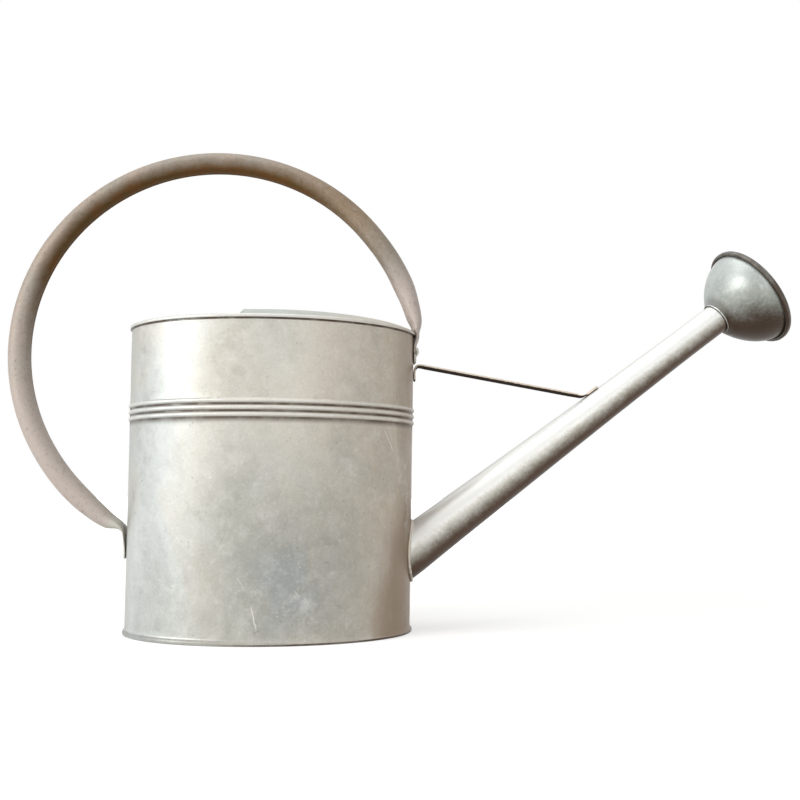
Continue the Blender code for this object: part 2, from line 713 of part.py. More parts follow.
def rose_face(spout_frame, material):
    """A crowned plate with rings of holes, its edge rolled down over the bowl's rim."""
    verts, faces = turned(rose_face_profile(), ROSE_SIDES, joined=False)
    plate = solid("rose_face", [leaned(vert) for vert in verts], faces, spout_frame, material)
    combine(plate, face_holes(spout_frame), "DIFFERENCE")
    return plate


def face_holes(spout_frame):
    """Every hole of the face as one cutter: a middle hole and rings of six, twelve and so on."""
    shape = bmesh.new()
    deep = face_height(0.0) + SHEET
    low = face_height(ROSE_RADIUS) - 4 * SHEET
    for ring in range(HOLE_RINGS + 1):
        count = max(6 * ring, 1)
        for i in range(count):
            turn = 2 * math.pi * (i + 0.5 * (ring % 2)) / count
            place = Vector((math.cos(turn), math.sin(turn), 0)) * ring * HOLE_RING_PITCH
            made = bmesh.ops.create_cone(shape, cap_ends=True, segments=6, radius1=HOLE_RADIUS,
                                         radius2=HOLE_RADIUS, depth=deep - low)
            bmesh.ops.translate(shape, verts=made["verts"], vec=place + Vector((0, 0, (deep + low) / 2)))
    for vert in shape.verts:
        vert.co = leaned(vert.co)
    mesh = bpy.data.meshes.new("face_holes_cut")
    shape.to_mesh(mesh)
    shape.free()
    cutter = bpy.data.objects.new("face_holes_cut", mesh)
    cutter.parent = spout_frame
    cutter.hide_render = True
    cutter.display_type = "WIRE"
    bpy.context.collection.objects.link(cutter)
    return cutter


def box_middle_x():
    """Middle of the whole can's length, from the back of the hoop to the front of the rose."""
    back = min(x - thickness for x, z, heading, thickness, width, bend in handle_stations())
    front = max(spout_to_can(leaned((radius, 0.0, along))).x for radius, along in rose_face_profile())
    return (back + front) / 2


def main():
    clear_scene()
    zinc = metal("galvanised_sheet", (0.62, 0.61, 0.57), 0.42)
    worn = metal("weathered_handle", (0.42, 0.36, 0.31), 0.60)
    dull = metal("dull_rose_zinc", (0.45, 0.47, 0.45), 0.45)
    bright = metal("rivet_steel", (0.60, 0.58, 0.54), 0.40)
    rod = metal("brace_rod", (0.50, 0.47, 0.42), 0.45)

    frame = frame_empty("can_frame", (-box_middle_x(), 0.0, 0.0))
    along = frame_empty("spout_axis", (half_length(SPOUT_Z), 0.0, SPOUT_Z), math.pi / 2 - SPOUT_ANGLE, frame)

    envelope = body_envelope(frame)
    bore = spout_bore(along)
    wall = body_wall(frame, zinc)
    combine(wall, bore, "DIFFERENCE")
    base_plate(frame, zinc)
    hood(frame, zinc)
    hoop = handle(frame, worn)
    for name, side in (("handle_rivet_front", -1), ("handle_rivet_back", 1)):
        seat = rivet_frame(name + "_seat", side, frame)
        rivet(name, seat, bright)
        hole = rivet_hole(name + "_hole_cut", seat)
        combine(hoop, hole, "DIFFERENCE")
        combine(wall, hole, "DIFFERENCE")
    spout(along, envelope, bore, zinc)
    brace(frame, rod)
    rose_dome(along, dull)
    rose_face(along, dull)


if __name__ == "__main__":
    main()
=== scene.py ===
"""Looks of a weathered galvanised watering can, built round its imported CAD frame.

Sizes are in metres. Shapes are laid out about the middle of the oval body, and each object's own
origin is there, so the finishes can be placed on the can by its own coordinates.
"""
import math

import bmesh
import bpy
from bpy.props import FloatProperty, FloatVectorProperty, IntProperty, PointerProperty
from mathutils import Matrix, Vector, geometry, noise


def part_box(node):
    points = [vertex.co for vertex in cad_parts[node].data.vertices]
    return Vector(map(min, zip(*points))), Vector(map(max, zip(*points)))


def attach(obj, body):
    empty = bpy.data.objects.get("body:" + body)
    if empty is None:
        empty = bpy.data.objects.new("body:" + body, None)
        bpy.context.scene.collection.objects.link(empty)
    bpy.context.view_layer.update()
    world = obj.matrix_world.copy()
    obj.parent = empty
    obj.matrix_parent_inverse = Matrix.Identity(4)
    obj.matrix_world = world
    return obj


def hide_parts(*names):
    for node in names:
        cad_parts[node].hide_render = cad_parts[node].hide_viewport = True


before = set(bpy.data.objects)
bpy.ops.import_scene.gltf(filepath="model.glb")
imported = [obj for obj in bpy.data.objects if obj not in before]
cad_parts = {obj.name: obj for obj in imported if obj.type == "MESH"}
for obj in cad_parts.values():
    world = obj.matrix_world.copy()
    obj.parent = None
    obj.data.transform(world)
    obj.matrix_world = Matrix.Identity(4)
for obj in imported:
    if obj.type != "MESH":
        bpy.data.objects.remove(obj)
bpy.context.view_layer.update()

bl_info = {
    "name": "Galvanised watering can",
    "version": (1, 0, 0),
    "blender": (4, 5, 0),
    "location": "3D View > Sidebar > Watering can",
    "description": "Builds the wall, hood, handle, spout, brace and rose of a weathered zinc watering can",
    "category": "Object",
}

MM = 0.001
PLATE_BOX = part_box("base_plate")
CAN_X = (PLATE_BOX[0][0] + PLATE_BOX[1][0]) / 2
UP, DOWN = math.pi / 2, -math.pi / 2


def length(name, description, millimetres):
    return FloatProperty(name=name, description=description, default=millimetres * MM,
                         unit="LENGTH", precision=5)


def turn_angle(name, description, degrees):
    return FloatProperty(name=name, description=description, default=math.radians(degrees),
                         subtype="ANGLE")


def amount(name, description, default):
    return FloatProperty(name=name, description=description, default=default, min=0.0, max=1.0,
                         subtype="FACTOR")


def count(name, description, default):
    return IntProperty(name=name, description=description, default=default, min=3)


def tint(name, description, red, green, blue):
    """A colour property whose default is written as it looks on a screen, 0 to 255."""
    linear = tuple(screen_to_linear(value / 255) for value in (red, green, blue))
    return FloatVectorProperty(name=name, description=description, default=linear, size=3,
                               subtype="COLOR", min=0.0, max=1.0)


def screen_to_linear(value):
    return value / 12.92 if value <= 0.04045 else ((value + 0.055) / 1.055) ** 2.4


class BodySizes(bpy.types.PropertyGroup):
    """Oval wall, base plate and the sheet that all of it is made from."""
    sheet: length("Sheet", "Thickness of the galvanised sheet", 0.8)
    seat_gap: length("Seat gap", "Room between pieces that touch", 0.3)
    height: length("Height", "Height of the wall", 276)
    base_half_length: length("Base half length", "Half length of the oval at the foot", 128)
    base_half_depth: length("Base half depth", "Half depth of the oval at the foot", 84.5)
    rim_half_length: length("Rim half length", "Half length of the oval at the rim", 131)
    rim_half_depth: length("Rim half depth", "Half depth of the oval at the rim", 86.5)
    foot_proud: length("Foot bead", "How far the foot bead stands out", 1.9)
    hem_radius: length("Hem radius", "Radius of the rolled rim", 1.8)
    rib_height: length("Rib height", "How far the swaged ribs stand out", 1.3)
    rib_width: length("Rib width", "Width of one rib", 4.9)
    rib_pitch: length("Rib pitch", "Distance from rib to rib", 5.9)
    rib_middle: length("Rib middle", "Height of the middle rib", 196.3)
    ribs: count("Ribs", "Number of swaged ribs", 3)
    lap_half_width: length("Lap half width", "Half width of the side seam's inside lap", 4)
    plate_height: length("Plate height", "Height of the base plate's underside", 7)
    columns: count("Columns", "Columns of faces round the oval", 220)
    waviness: length("Waviness", "Depth of the soft waves in the hand-worked sheet", 0.22)


class HoodSizes(bpy.types.PropertyGroup):
    """Domed half cover over the spout side of the mouth."""
    crown: length("Crown", "Rise of the hood over the rim", 17.3)
    fade: amount("Fade", "How the crown falls towards the spout end", 0.6)
    edge_x: length("Edge", "Place of the free edge along the can", -24.5)
    skirt: length("Skirt", "Depth of the skirt inside the rim", 9)
    edge_radius: length("Edge roll", "Radius of the rolled free edge", 1.3)
    columns: count("Columns", "Columns of faces across the hood", 96)
    rows: count("Rows", "Rows of faces along the hood", 48)


class HandleSizes(bpy.types.PropertyGroup):
    """Hoop of rolled tube with a flattened tab at each end."""
    hoop_x: length("Hoop middle", "Middle of the hoop along the can", -50.2)
    hoop_z: length("Hoop height", "Height of the hoop's middle", 256)
    hoop_radius: length("Hoop radius", "Radius of the hoop's middle line", 182.4)
    front_flare: length("Front flare", "How far the upper end opens out", 4.2)
    back_flare: length("Back flare", "How far the lower end opens out", 3)
    tube_radius: length("Tube radius", "Radius of the rolled tube", 10)
    tube_sheet: length("Tube sheet", "Thickness of the tube's sheet", 0.9)
    tab_half_width: length("Tab half width", "Half width of the flattened tabs", 14)
    tab_half_thickness: length("Tab half thickness", "Half thickness of the tabs", 1.25)
    upper_tab_low: length("Upper tab end", "Height of the upper tab's free end", 248)
    lower_tab_top: length("Lower tab bend", "Height at which the lower tab bends", 87)
    lower_tab_low: length("Lower tab end", "Height of the lower tab's free end", 65.5)
    rivet_height: length("Rivet height", "Height of the rivets", 258.5)
    rivet_spacing: length("Rivet spacing", "Distance between the rivets", 15)
    rivet_radius: length("Rivet head", "Radius of a rivet's head", 4)


class SpoutSizes(bpy.types.PropertyGroup):
    """Tapered tube, its solder and the brace rod."""
    base_z: length("Spout height", "Height at which the spout's axis leaves the body", 72.1)
    angle: turn_angle("Spout angle", "Rise of the spout over level", 36.76)
    base_radius: length("Base radius", "Radius of the spout at the body", 21.8)
    tip_radius: length("Tip radius", "Radius of the spout at its tip", 14.4)
    taper_length: length("Taper length", "Length over which the spout narrows", 340)
    taper_power: FloatProperty(name="Taper fade", description="How early the taper fades out", default=1.35)
    spout_length: length("Spout length", "Length of the spout from the body to its tip", 391)
    solder_radius: length("Solder radius", "Size of the solder bead at the body", 2)
    sides: count("Sides", "Faces round the spout", 96)
    rod_radius: length("Rod radius", "Radius of the brace rod", 2.3)
    rod_tab_low: length("Rod tab end", "Height of the brace tab's free end", 231)
    rod_wall_z: length("Rod height", "Height at which the brace leaves the wall", 245.8)
    rod_foot_at: length("Rod foot", "Where along the spout the brace comes down", 220.5)
    rod_foot_length: length("Rod foot length", "Length of the brace's flattened foot", 18)
    rod_flat_half_width: length("Rod flat width", "Half width of the flattened ends", 4.5)
    rod_flat_half_thickness: length("Rod flat thickness", "Half thickness of the flattened ends", 1)


class RoseSizes(bpy.types.PropertyGroup):
    """Bowl and perforated face of the rose, knocked a little askew on its neck."""
    neck_from: length("Neck end", "Distance along the spout of the neck's open end", 377.4)
    neck_length: length("Neck length", "Straight length of the neck", 1.2)
    neck_flare: length("Neck flare", "How far the neck opens before the bowl begins", 4)
    sleeve_length: length("Sleeve length", "Length of the sleeve inside the bowl", 10.5)
    rim_from_neck: length("Rim distance", "Distance from the neck's end to the rim", 45)
    radius: length("Bowl radius", "Radius of the bowl at its rim", 47.9)
    depth: length("Bowl depth", "Depth of the bowl's curve", 53.2)
    taper_power: FloatProperty(name="Bowl taper", description="How bell-like the bowl is", default=1.93)
    lean: turn_angle("Lean", "How far the bowl leans on its neck", 2.25)
    shift: length("Shift", "How far the bowl is pushed across its neck", 1)
    band_depth: length("Band depth", "Depth of the face's rolled edge", 5)
    band_thickness: length("Band thickness", "Thickness of the rolled edge", 3.3)
    face_crown: length("Face crown", "Rise of the perforated face", 5)
    hole_radius: length("Hole radius", "Radius of one hole", 1)
    hole_pitch: length("Hole pitch", "Distance between rings of holes", 8)
    hole_rings: count("Hole rings", "Rings of holes round the middle hole", 5)
    sides: count("Sides", "Faces round the rose", 120)


class Finishes(bpy.types.PropertyGroup):
    """Colours of the zinc, its patina, dirt and rust, and the painted highlights and shade laid over them.
    """
    zinc_cool: tint("Cool zinc", "Cool grey of the wall's handle side", 195, 199, 196)
    zinc_pale: tint("Pale zinc", "Pale greenish grey over most of the wall", 200, 198, 188)
    zinc_warm: tint("Warm zinc", "Warm grey between the middle and the spout side", 204, 195, 181)
    zinc_taupe: tint("Taupe patina", "Brownish tone at the spout side", 199, 187, 169)
    # Partly brown patina, partly painted shade at the oval's spout end.
    zinc_edge: tint("Edge patina", "Brown at the spout end of the wall", 150, 130, 110)
    zinc_shade: tint("Grey patina", "Greenish grey clouds low on the wall", 146, 146, 138)
    # Also a painted highlight on the hem, ribs and spout top, and a painted reflection on the wall.
    bloom_and_highlight: tint("White bloom", "Pale zinc bloom", 244, 244, 240)
    zinc_blue: tint("Blue bloom", "Bluish patch low on the wall", 158, 164, 168)
    # Also painted shade: under the hem, in the rib grooves, along the foot and under the spout.
    grime_and_shade: tint("Grime", "Dark brown dirt in creases", 62, 44, 27)
    # Painted shade on faces turned down and at the wall's spout end; also dark pits and mottling in the
    # zinc.
    tarnish_and_shade: tint("Underside", "Brown tarnish on faces turned down", 88, 68, 54)
    spout_mid: tint("Spout grey", "Grey of the spout's upper flank", 204, 201, 191)
    # Painted shade on the spout's lower flank.
    spout_shade_tan: tint("Spout tan", "Brownish grey of the spout's lower flank", 140, 132, 119)
    hood_zinc: tint("Hood zinc", "Even grey of the hood", 186, 191, 184)
    handle_taupe: tint("Handle taupe", "Matte oxide on the hoop", 168, 153, 140)
    handle_grey: tint("Handle grey", "Grey wear on the hoop", 158, 150, 138)
    handle_brown: tint("Handle brown", "Browner oxide on the spout side of the hoop", 150, 128, 102)
    handle_pale: tint("Handle pale", "Pale oxide towards both ends of the hoop", 196, 184, 176)
    # Partly rust and dirt, partly painted shade on the hoop's inner face.
    inner_rust_and_shade: tint("Dark rust", "Olive-brown dirt along the inside of the hoop", 92, 66, 22)
    rust: tint("Rust", "Orange-brown rust along the seam", 118, 72, 30)
    solder: tint("Solder", "Dull bright solder", 214, 206, 194)
    # The rose's tones are painted light: pale on top, a painted half shade in grey across the middle,
    # painted shade in dark brown below.
    rose_zinc: tint("Rose zinc", "Blue-green tone of the rose", 190, 197, 194)
    rose_half_shade: tint("Rose grey", "Grey tone across the middle of the rose", 150, 155, 148)
    rose_dark_shade: tint("Rose dark", "Dark brown under the rose", 62, 43, 27)
    # The rod's tones are painted light: cream where it is lit, near black as painted shade underneath.
    rod_lit_cream: tint("Rod cream", "Pale top of the brace", 226, 212, 194)
    rod_shade_dark: tint("Rod dark", "Very dark underside of the brace", 38, 26, 18)
    spangle: amount("Spangle", "Strength of the zinc's crystal pattern", 0.3)


GROUPS = {
    "can_body": BodySizes,
    "can_hood": HoodSizes,
    "can_handle": HandleSizes,
    "can_spout": SpoutSizes,
    "can_rose": RoseSizes,
    "can_finishes": Finishes,
}


# Meshes

def loft(rings, joined=False, closed=True, caps=False):
    """Faces between rings of equal count; closed rings are tubes, open ones are strips."""
    size = len(rings[0])
    verts = [tuple(point) for ring in rings for point in ring]
    faces = []
    rows = len(rings) if joined else len(rings) - 1
    for row in range(rows):
        low, high = row * size, (row + 1) % len(rings) * size
        for i in range(size if closed else size - 1):
            j = (i + 1) % size
            faces.append((low + i, low + j, high + j, high + i))
    if caps:
        top = (len(rings) - 1) * size
        faces.append(tuple(range(size)))
        faces.append(tuple(range(top, top + size)))
    return verts, faces


def circle(radius, height, sides):
    """Points round Z."""
    turns = [2 * math.pi * i / sides for i in range(sides)]
    return [(radius * math.cos(turn), radius * math.sin(turn), height) for turn in turns]


def turned(profile, sides, joined=False, caps=False):
    """A profile of radius and height turned round Z."""
    return loft([circle(radius, height, sides) for radius, height in profile], joined=joined, caps=caps)


def shrunk(ring, share):
    return [(share * x, share * y, z) for x, y, z in ring]


def squared_off(value, power):
    """A sine or cosine made blunter, so that a round section turns flat-sided."""
    return math.copysign(abs(value) ** power, value)


def blended(rows, steps, limited=()):
    """Rows of numbers joined by smooth curves, spaced by the first two columns.

    The limited columns never overshoot.
    """
    last = len(rows) - 1
    gaps = [max(math.hypot(rows[i + 1][0] - rows[i][0], rows[i + 1][1] - rows[i][1]), 1e-6)
            for i in range(last)]

    def slope(i, column):
        if i in (0, last):
            j = min(i, last - 1)
            return (rows[j + 1][column] - rows[j][column]) / gaps[j]
        before = (rows[i][column] - rows[i - 1][column]) / gaps[i - 1]
        after = (rows[i + 1][column] - rows[i][column]) / gaps[i]
        if column in limited:
            return 0.0 if before * after <= 0 else 2 * before * after / (before + after)
        return (before * gaps[i] + after * gaps[i - 1]) / (gaps[i] + gaps[i - 1])

    result = []
    for i in range(last):
        for step in range(steps):
            t = step / steps
            start, end = (1 + 2 * t) * (1 - t) ** 2, t * t * (3 - 2 * t)
            out, back = t * (1 - t) ** 2, t * t * (t - 1)
            result.append([start * rows[i][k] + end * rows[i + 1][k]
                           + gaps[i] * (out * slope(i, k) + back * slope(i + 1, k))
                           for k in range(len(rows[0]))])
    result.append(list(rows[-1]))
    return result


def outward_mesh(name, verts, faces):
    """A mesh with doubled points joined and every face turned outwards."""
    mesh = bpy.data.meshes.new(name)
    mesh.from_pydata(verts, [], faces)
    shape = bmesh.new()
    shape.from_mesh(mesh)
    bmesh.ops.remove_doubles(shape, verts=shape.verts, dist=1e-6)
    bmesh.ops.recalc_face_normals(shape, faces=shape.faces)
    shape.to_mesh(mesh)
    shape.free()
    return mesh


def piece(name, verts, faces, material, body="can", replaced=(), matrix=None, sharp=40.0):
    """One smooth-shaded object on a body, in place of the CAD nodes it stands for."""
    mesh = outward_mesh(name, verts, faces)
    mesh.shade_smooth()
    mesh.set_sharp_from_angle(angle=math.radians(sharp))
    mesh.materials.append(material)
    thing = bpy.data.objects.new(name, mesh)
    thing.matrix_world = matrix or Matrix.Translation((CAN_X, 0.0, 0.0))
    bpy.context.collection.objects.link(thing)
    bpy.context.view_layer.update()
    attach(thing, body)
    if replaced:
        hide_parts(*replaced)
    return thing


def mark(thing, name, value_at):
    """A number on each vertex for the finishes to read."""
    mesh = thing.data
    layer = mesh.attributes.new(name, "FLOAT", "POINT")
    layer.data.foreach_set("value", [value_at(vertex.co) for vertex in mesh.vertices])


def cut_away(thing, verts, faces, matrix):
    """Takes a solid out of a piece, and leaves no modifier behind."""
    mesh = outward_mesh("cut", verts, faces)
    cutter = bpy.data.objects.new("cut", mesh)
    cutter.matrix_world = matrix
    bpy.context.collection.objects.link(cutter)
    modifier = thing.modifiers.new("cut", "BOOLEAN")
    modifier.object = cutter
    modifier.operation = "DIFFERENCE"
    modifier.solver = "EXACT"
    bpy.context.view_layer.update()
    evaluated = thing.evaluated_get(bpy.context.evaluated_depsgraph_get())
    result = bpy.data.meshes.new_from_object(evaluated)
    thing.modifiers.clear()
    thing.data = result
    bpy.data.objects.remove(cutter)
    bpy.data.meshes.remove(mesh)


# The oval body

WALL_START, HEM_ROOM = 10 * MM, 1.5 * MM
ROW_BELOW_RIBS, ROW_ON_RIBS, ROW_ABOVE_RIBS = 7 * MM, 0.45 * MM, 6 * MM
FOOT_BEAD = ((0.70, 0.0), (0.86, 0.3), (0.96, 0.8), (1.0, 1.4), (1.0, 2.2), (0.92, 2.8), (0.74, 3.3),
             (0.50, 3.8), (0.28, 4.3), (0.12, 4.9), (0.03, 5.8))
SPOUT_BORE_FROM, SPOUT_BORE_TO = -70 * MM, 25 * MM


def half_length(body, z):
    return body.base_half_length + (body.rim_half_length - body.base_half_length) * z / body.height


def half_depth(body, z):
    return body.base_half_depth + (body.rim_half_depth - body.base_half_depth) * z / body.height


def end_radius(body, z):
    return half_depth(body, z) ** 2 / half_length(body, z)


def oval_turns(body):
    """Even columns round the oval, with four more at the edges of the inside lap."""
    turns = [2 * math.pi * i / body.columns for i in range(body.columns)]
    for width in (body.lap_half_width, body.lap_half_width + body.sheet):
        reach = math.asin(width / body.base_half_depth)
        turns += [math.pi - reach, math.pi + reach]
    return sorted(turns)


def sheet_wave(body, turn, z):
    """Soft unevenness of the sheet, faded out at the foot, the hem and the ribs."""
    edge = min(z - 14 * MM, body.height - 10 * MM - z)
    rib_zone = abs(z - body.rib_middle) - 2 * body.rib_pitch
    fade = max(0.0, min(1.0, edge / (20 * MM))) * max(0.25, min(1.0, rib_zone / (12 * MM)))
    place = Vector((2.1 * math.cos(turn), 2.1 * math.sin(turn), 9.0 * z))
    return body.waviness * fade * (noise.noise(place) + 0.35 * noise.noise(place * 2.3))


def rib_offset(body, z):
    """Height of the swaged ribs over the plain wall."""
    for i in range(body.ribs):
        middle = body.rib_middle + (i - (body.ribs - 1) / 2) * body.rib_pitch
        away = abs(z - middle) / (body.rib_width / 2)
        if away < 1.0:
            return body.rib_height * (0.5 + 0.5 * math.cos(math.pi * away ** 1.25))
    return 0.0


def oval_ring(body, offset, z, wave=True):
    long, deep = half_length(body, z), half_depth(body, z)
    ring = []
    for turn in oval_turns(body):
        push = offset + (sheet_wave(body, turn, z) if wave else 0.0)
        ring.append(((long + push) * math.cos(turn), (deep + push) * math.sin(turn), z))
    return ring


def spaced(low, high, step):
    steps = max(1, round((high - low) / step))
    return [low + (high - low) * i / steps for i in range(steps)]


def wall_heights(body):
    """Heights of the rows between the foot bead and the hem, close together on the ribs."""
    reach = (body.ribs - 1) / 2 * body.rib_pitch + body.rib_width / 2
    low, high = body.rib_middle - reach, body.rib_middle + reach
    top = body.height - 2 * body.hem_radius - HEM_ROOM
    return (spaced(WALL_START, low, ROW_BELOW_RIBS) + spaced(low, high, ROW_ON_RIBS)
            + spaced(high, top, ROW_ABOVE_RIBS) + [top])


def wall_outside(body):
    """Offset and height of the outer face, from the standing edge up to the top of the hem."""
    points = [(share * body.foot_proud, z * MM) for share, z in FOOT_BEAD]
    points += [(rib_offset(body, z), z) for z in wall_heights(body)]
    middle = body.height - body.hem_radius
    neck = 0.12 * body.hem_radius
    points += [(0.0, middle - 1.5 * body.hem_radius), (neck, middle - 1.06 * body.hem_radius)]
    for degrees in range(-84, 91, 12):
        angle = math.radians(degrees)
        points.append((body.hem_radius * math.cos(angle), middle + body.hem_radius * math.sin(angle)))
    return points


def wall_inside(body):
    """Offset, height and lap of the inner face, from the hem down to the standing edge."""
    sheet = body.sheet
    lap_top, lap_low = body.height - 3 * body.hem_radius, 12 * MM
    points = [(-0.6 * sheet, body.height - 0.1 * sheet, False), (-sheet, body.height - 0.5 * sheet, False),
              (-sheet, lap_top, False)]
    for z in reversed(wall_heights(body)):
        if z < lap_top:
            points.append((rib_offset(body, z) - sheet, z, z > lap_low and z < lap_top - sheet))
    return points + [(-sheet, 0.0, False)]


def body_wall(body, handle, spout, material):
    """One rolled sheet: foot bead, swaged ribs, rolled hem and the side seam's inside lap."""
    rings = [oval_ring(body, offset, z) for offset, z in wall_outside(body)]
    reach = math.asin(body.lap_half_width / body.base_half_depth) * 1.001
    for offset, z, lapped in wall_inside(body):
        plain, thick = oval_ring(body, offset, z), oval_ring(body, offset - body.sheet, z)
        rings.append([thick[i] if lapped and abs(turn - math.pi) < reach else plain[i]
                      for i, turn in enumerate(oval_turns(body))])
    verts, faces = loft(rings, joined=True)
    wall = piece("wall", verts, faces, material, replaced=("body_wall",))
    bore = spout.base_radius - body.sheet
    verts, faces = turned([(bore, SPOUT_BORE_FROM), (bore, SPOUT_BORE_TO)], 64, caps=True)
    cut_away(wall, verts, faces, spout_frame(body, spout))
    cut_rivet_holes(wall, body, handle)
    mark(wall, "light_shade_and_grime", lambda place: wall_light_shade_and_grime(body, place))


def wall_light_shade_and_grime(body, place):
    """Painted highlight is 1 and painted shade with grime is -1: lit tops on the hem and ribs, shade under
    the hem and in the rib grooves, and shade along the foot that deepens towards the spout end, with a lit
    line there.
    """
    z = place.z
    hem_low = body.height - 2 * body.hem_radius
    # Painted highlight on the hem's top.
    if z > hem_low + 0.6 * MM:
        return 0.75
    # Painted shadow with grime under the hem.
    if z > hem_low - 0.6 * body.hem_radius:
        return -1.0
    # Painted shade and light along the foot bead, set by the spout end.
    right = min(1.0, max(0.0, 0.5 + place.x / (90 * MM)))
    if z < 1.5 * MM:
        return -0.5 - 0.5 * right
    if z < 2.6 * MM:
        return -0.55 + 1.15 * right
    if z < 4.8 * MM:
        return -0.55 + 0.35 * right
    # Painted highlight on the rib tops, painted shade in the grooves between them.
    low_rib = body.rib_middle - (body.ribs - 1) / 2 * body.rib_pitch
    step = (z - low_rib) / body.rib_pitch
    if -0.62 < step < body.ribs - 0.5:
        wave = math.cos(2 * math.pi * step)
        return wave if wave > 0 else -abs(wave) ** 0.5 if step < body.ribs - 1 else 0.0
    return 0.0


def base_plate(body, material):
    """Pressed plate whose flange stands inside the foot."""
    edge = -body.sheet - body.seat_gap
    corner = [(math.sin(math.radians(a)), math.cos(math.radians(a))) for a in range(0, 91, 15)]
    outer, inner = 2.4 * MM, 1.6 * MM
    top, low = body.plate_height + body.sheet, 1.0 * MM
    rings = [shrunk(oval_ring(body, edge - outer, top, False), share) for share in (0.02, 0.3, 0.6, 0.9)]
    for across, up in corner:
        rings.append(oval_ring(body, edge - outer * (1 - across), top - outer * (1 - up), False))
    rings += [oval_ring(body, edge, low, False), oval_ring(body, edge - body.sheet, low, False)]
    for across, up in reversed(corner):
        rings.append(oval_ring(body, edge - body.sheet - inner * (1 - across),
                               body.plate_height - inner * (1 - up), False))
    below = oval_ring(body, edge - body.sheet - inner, body.plate_height, False)
    rings += [shrunk(below, share) for share in (0.9, 0.6, 0.3, 0.02)]
    verts, faces = loft(rings, caps=True)
    piece("base_plate_sheet", verts, faces, material, replaced=("base_plate",))


# The hood

def crown_at(hood, share):
    return hood.crown * max(1 - share ** 2, 0.0) ** hood.fade


def hood_height(body, hood, x, y):
    """Height of the hood's outer face over the rim."""
    long = half_length(body, body.height) - body.sheet - body.seat_gap
    deep = half_depth(body, body.height) - body.sheet - body.seat_gap
    room = 1 - (x / long) ** 2
    if room < 1e-6:
        return 0.0
    return crown_at(hood, x / long) * max(0.0, 1 - (y / deep) ** 2 / room)


def hood_grid(body, hood, inset):
    """Rows of points from the free edge to the rim."""
    long = half_length(body, body.height) - body.sheet - body.seat_gap - inset
    deep = half_depth(body, body.height) - body.sheet - body.seat_gap - inset
    widest = math.acos(hood.edge_x / long)
    edge_reach = deep * math.sin(widest)
    rows = []
    for i in range(hood.rows + 1):
        share = 1 - (1 - i / hood.rows) ** 1.6
        row = []
        for k in range(hood.columns + 1):
            across = 2 * k / hood.columns - 1
            turn = across * widest
            rim = Vector((long * math.cos(turn), deep * math.sin(turn)))
            free = Vector((hood.edge_x, edge_reach * math.sin(turn) / math.sin(widest)
                           if widest < UP else edge_reach * across))
            x, y = free.lerp(rim, share)
            ripple = 0.25 * MM * noise.noise(Vector((14 * x, 14 * y, 3.0))) * (1 - share)
            rise = hood_height(body, hood, x, y) * (1 - inset / deep)
            row.append((x, y, body.height + rise - inset + ripple))
        rows.append(row)
    return rows


def hood_cover(body, hood, material):
    """Domed sheet with its skirt inside the rim and its free edge rolled."""
    top, under = hood_grid(body, hood, 0.0), hood_grid(body, hood, body.sheet)
    skirt = [[(x, y, z - drop) for x, y, z in top[-1]] for drop in (0.35 * hood.skirt, hood.skirt)]
    skirt_in = [(x, y, z - (hood.skirt - body.sheet)) for x, y, z in under[-1]]
    rings = top + skirt + [skirt_in] + under[::-1]
    verts, faces = loft(rings, joined=True, closed=False)
    size = len(rings[0])
    for column in (0, size - 1):
        faces.append(tuple(row * size + column for row in range(len(rings))))
    cover = piece("hood_cover", verts, faces, material, replaced=("hood",), sharp=50)
    mark(cover, "light_shade_and_grime", lambda place: hood_crest(body, place))

    path = [Vector(point) - Vector((0, 0, 0.9 * hood.edge_radius)) for point in top[0][2:-2]]
    verts, faces = bead(path, lambda share: hood.edge_radius, 14, Vector((1, 0, 0)), closed=False)
    piece("hood_edge_roll", verts, faces, material)


def hood_crest(body, place):
    """Darker where the hood meets the rim."""
    over_rim = place.z - body.height
    return -0.5 if -2 * MM < over_rim < 0.6 * MM else 0.0


def bead(path, radius_at, sides, side, closed=True):
    """A round bead along a path; its radius may vary along it."""
    rings, last = [], len(path) - 1
    for i, point in enumerate(path):
        before = path[i - 1] if closed or i else path[0]
        after = path[(i + 1) % len(path)] if closed or i < last else path[last]
        along = (after - before).normalized()
        hint = side(point) if callable(side) else side
        across = (hint - along * hint.dot(along)).normalized()
        other = along.cross(across)
        radius = radius_at(i / len(path))
        rings.append([point + (x * across + y * other) for x, y, _ in circle(radius, 0.0, sides)])
    return loft(rings, joined=closed, caps=not closed)


# The handle

HOOP_FLARE_TURN = math.radians(38)
HOOP_LAST_TURN = math.radians(246)
HOOP_ROUND_FROM, HOOP_ROUND_TO, HOOP_STEP = 22, 228, 3

# Turn in degrees, half thickness and half width in millimetres.
UPPER_TAPER = ((11.0, 7.0, 12.0), (16.0, 8.5, 10.8))
LOWER_TAPER = ((234.5, 8.5, 10.8), (239.0, 6.5, 12.0))

# Millimetres out and up, heading in degrees, half thickness in millimetres, and shares of the tab's
# width and of the wall's curve.
UPPER_BEND = ((0.3, 2.4, 90, 3.4, 0.97, 0.6), (0.6, 7.0, 93, 4.5, 0.94, 0.3))
LOWER_BEND = ((4.8, 6.2, -46, 2.7, 0.97, 0.5), (2.4, 2.4, -68, 1.2, 1.0, 1.0),
              (1.5, -2.4, -86, 1.0, 1.0, 1.0))

RIVET_HOLE, RIVET_HOLE_REACH = 1.8 * MM, 6 * MM
RIVET_SHANK, RIVET_TAIL, RIVET_DOME = 1.5 * MM, 3 * MM, 2 * MM


def hoop_point(handle, turn):
    front = max(0.0, 1 - turn / HOOP_FLARE_TURN)
    back = max(0.0, 1 - (HOOP_LAST_TURN - turn) / HOOP_FLARE_TURN)
    radius = handle.hoop_radius + handle.front_flare * front + handle.back_flare * back ** 2
    return handle.hoop_x + radius * math.cos(turn), handle.hoop_z + radius * math.sin(turn)


def tab_x(body, handle, z):
    return half_length(body, z) + body.seat_gap + handle.tab_half_thickness


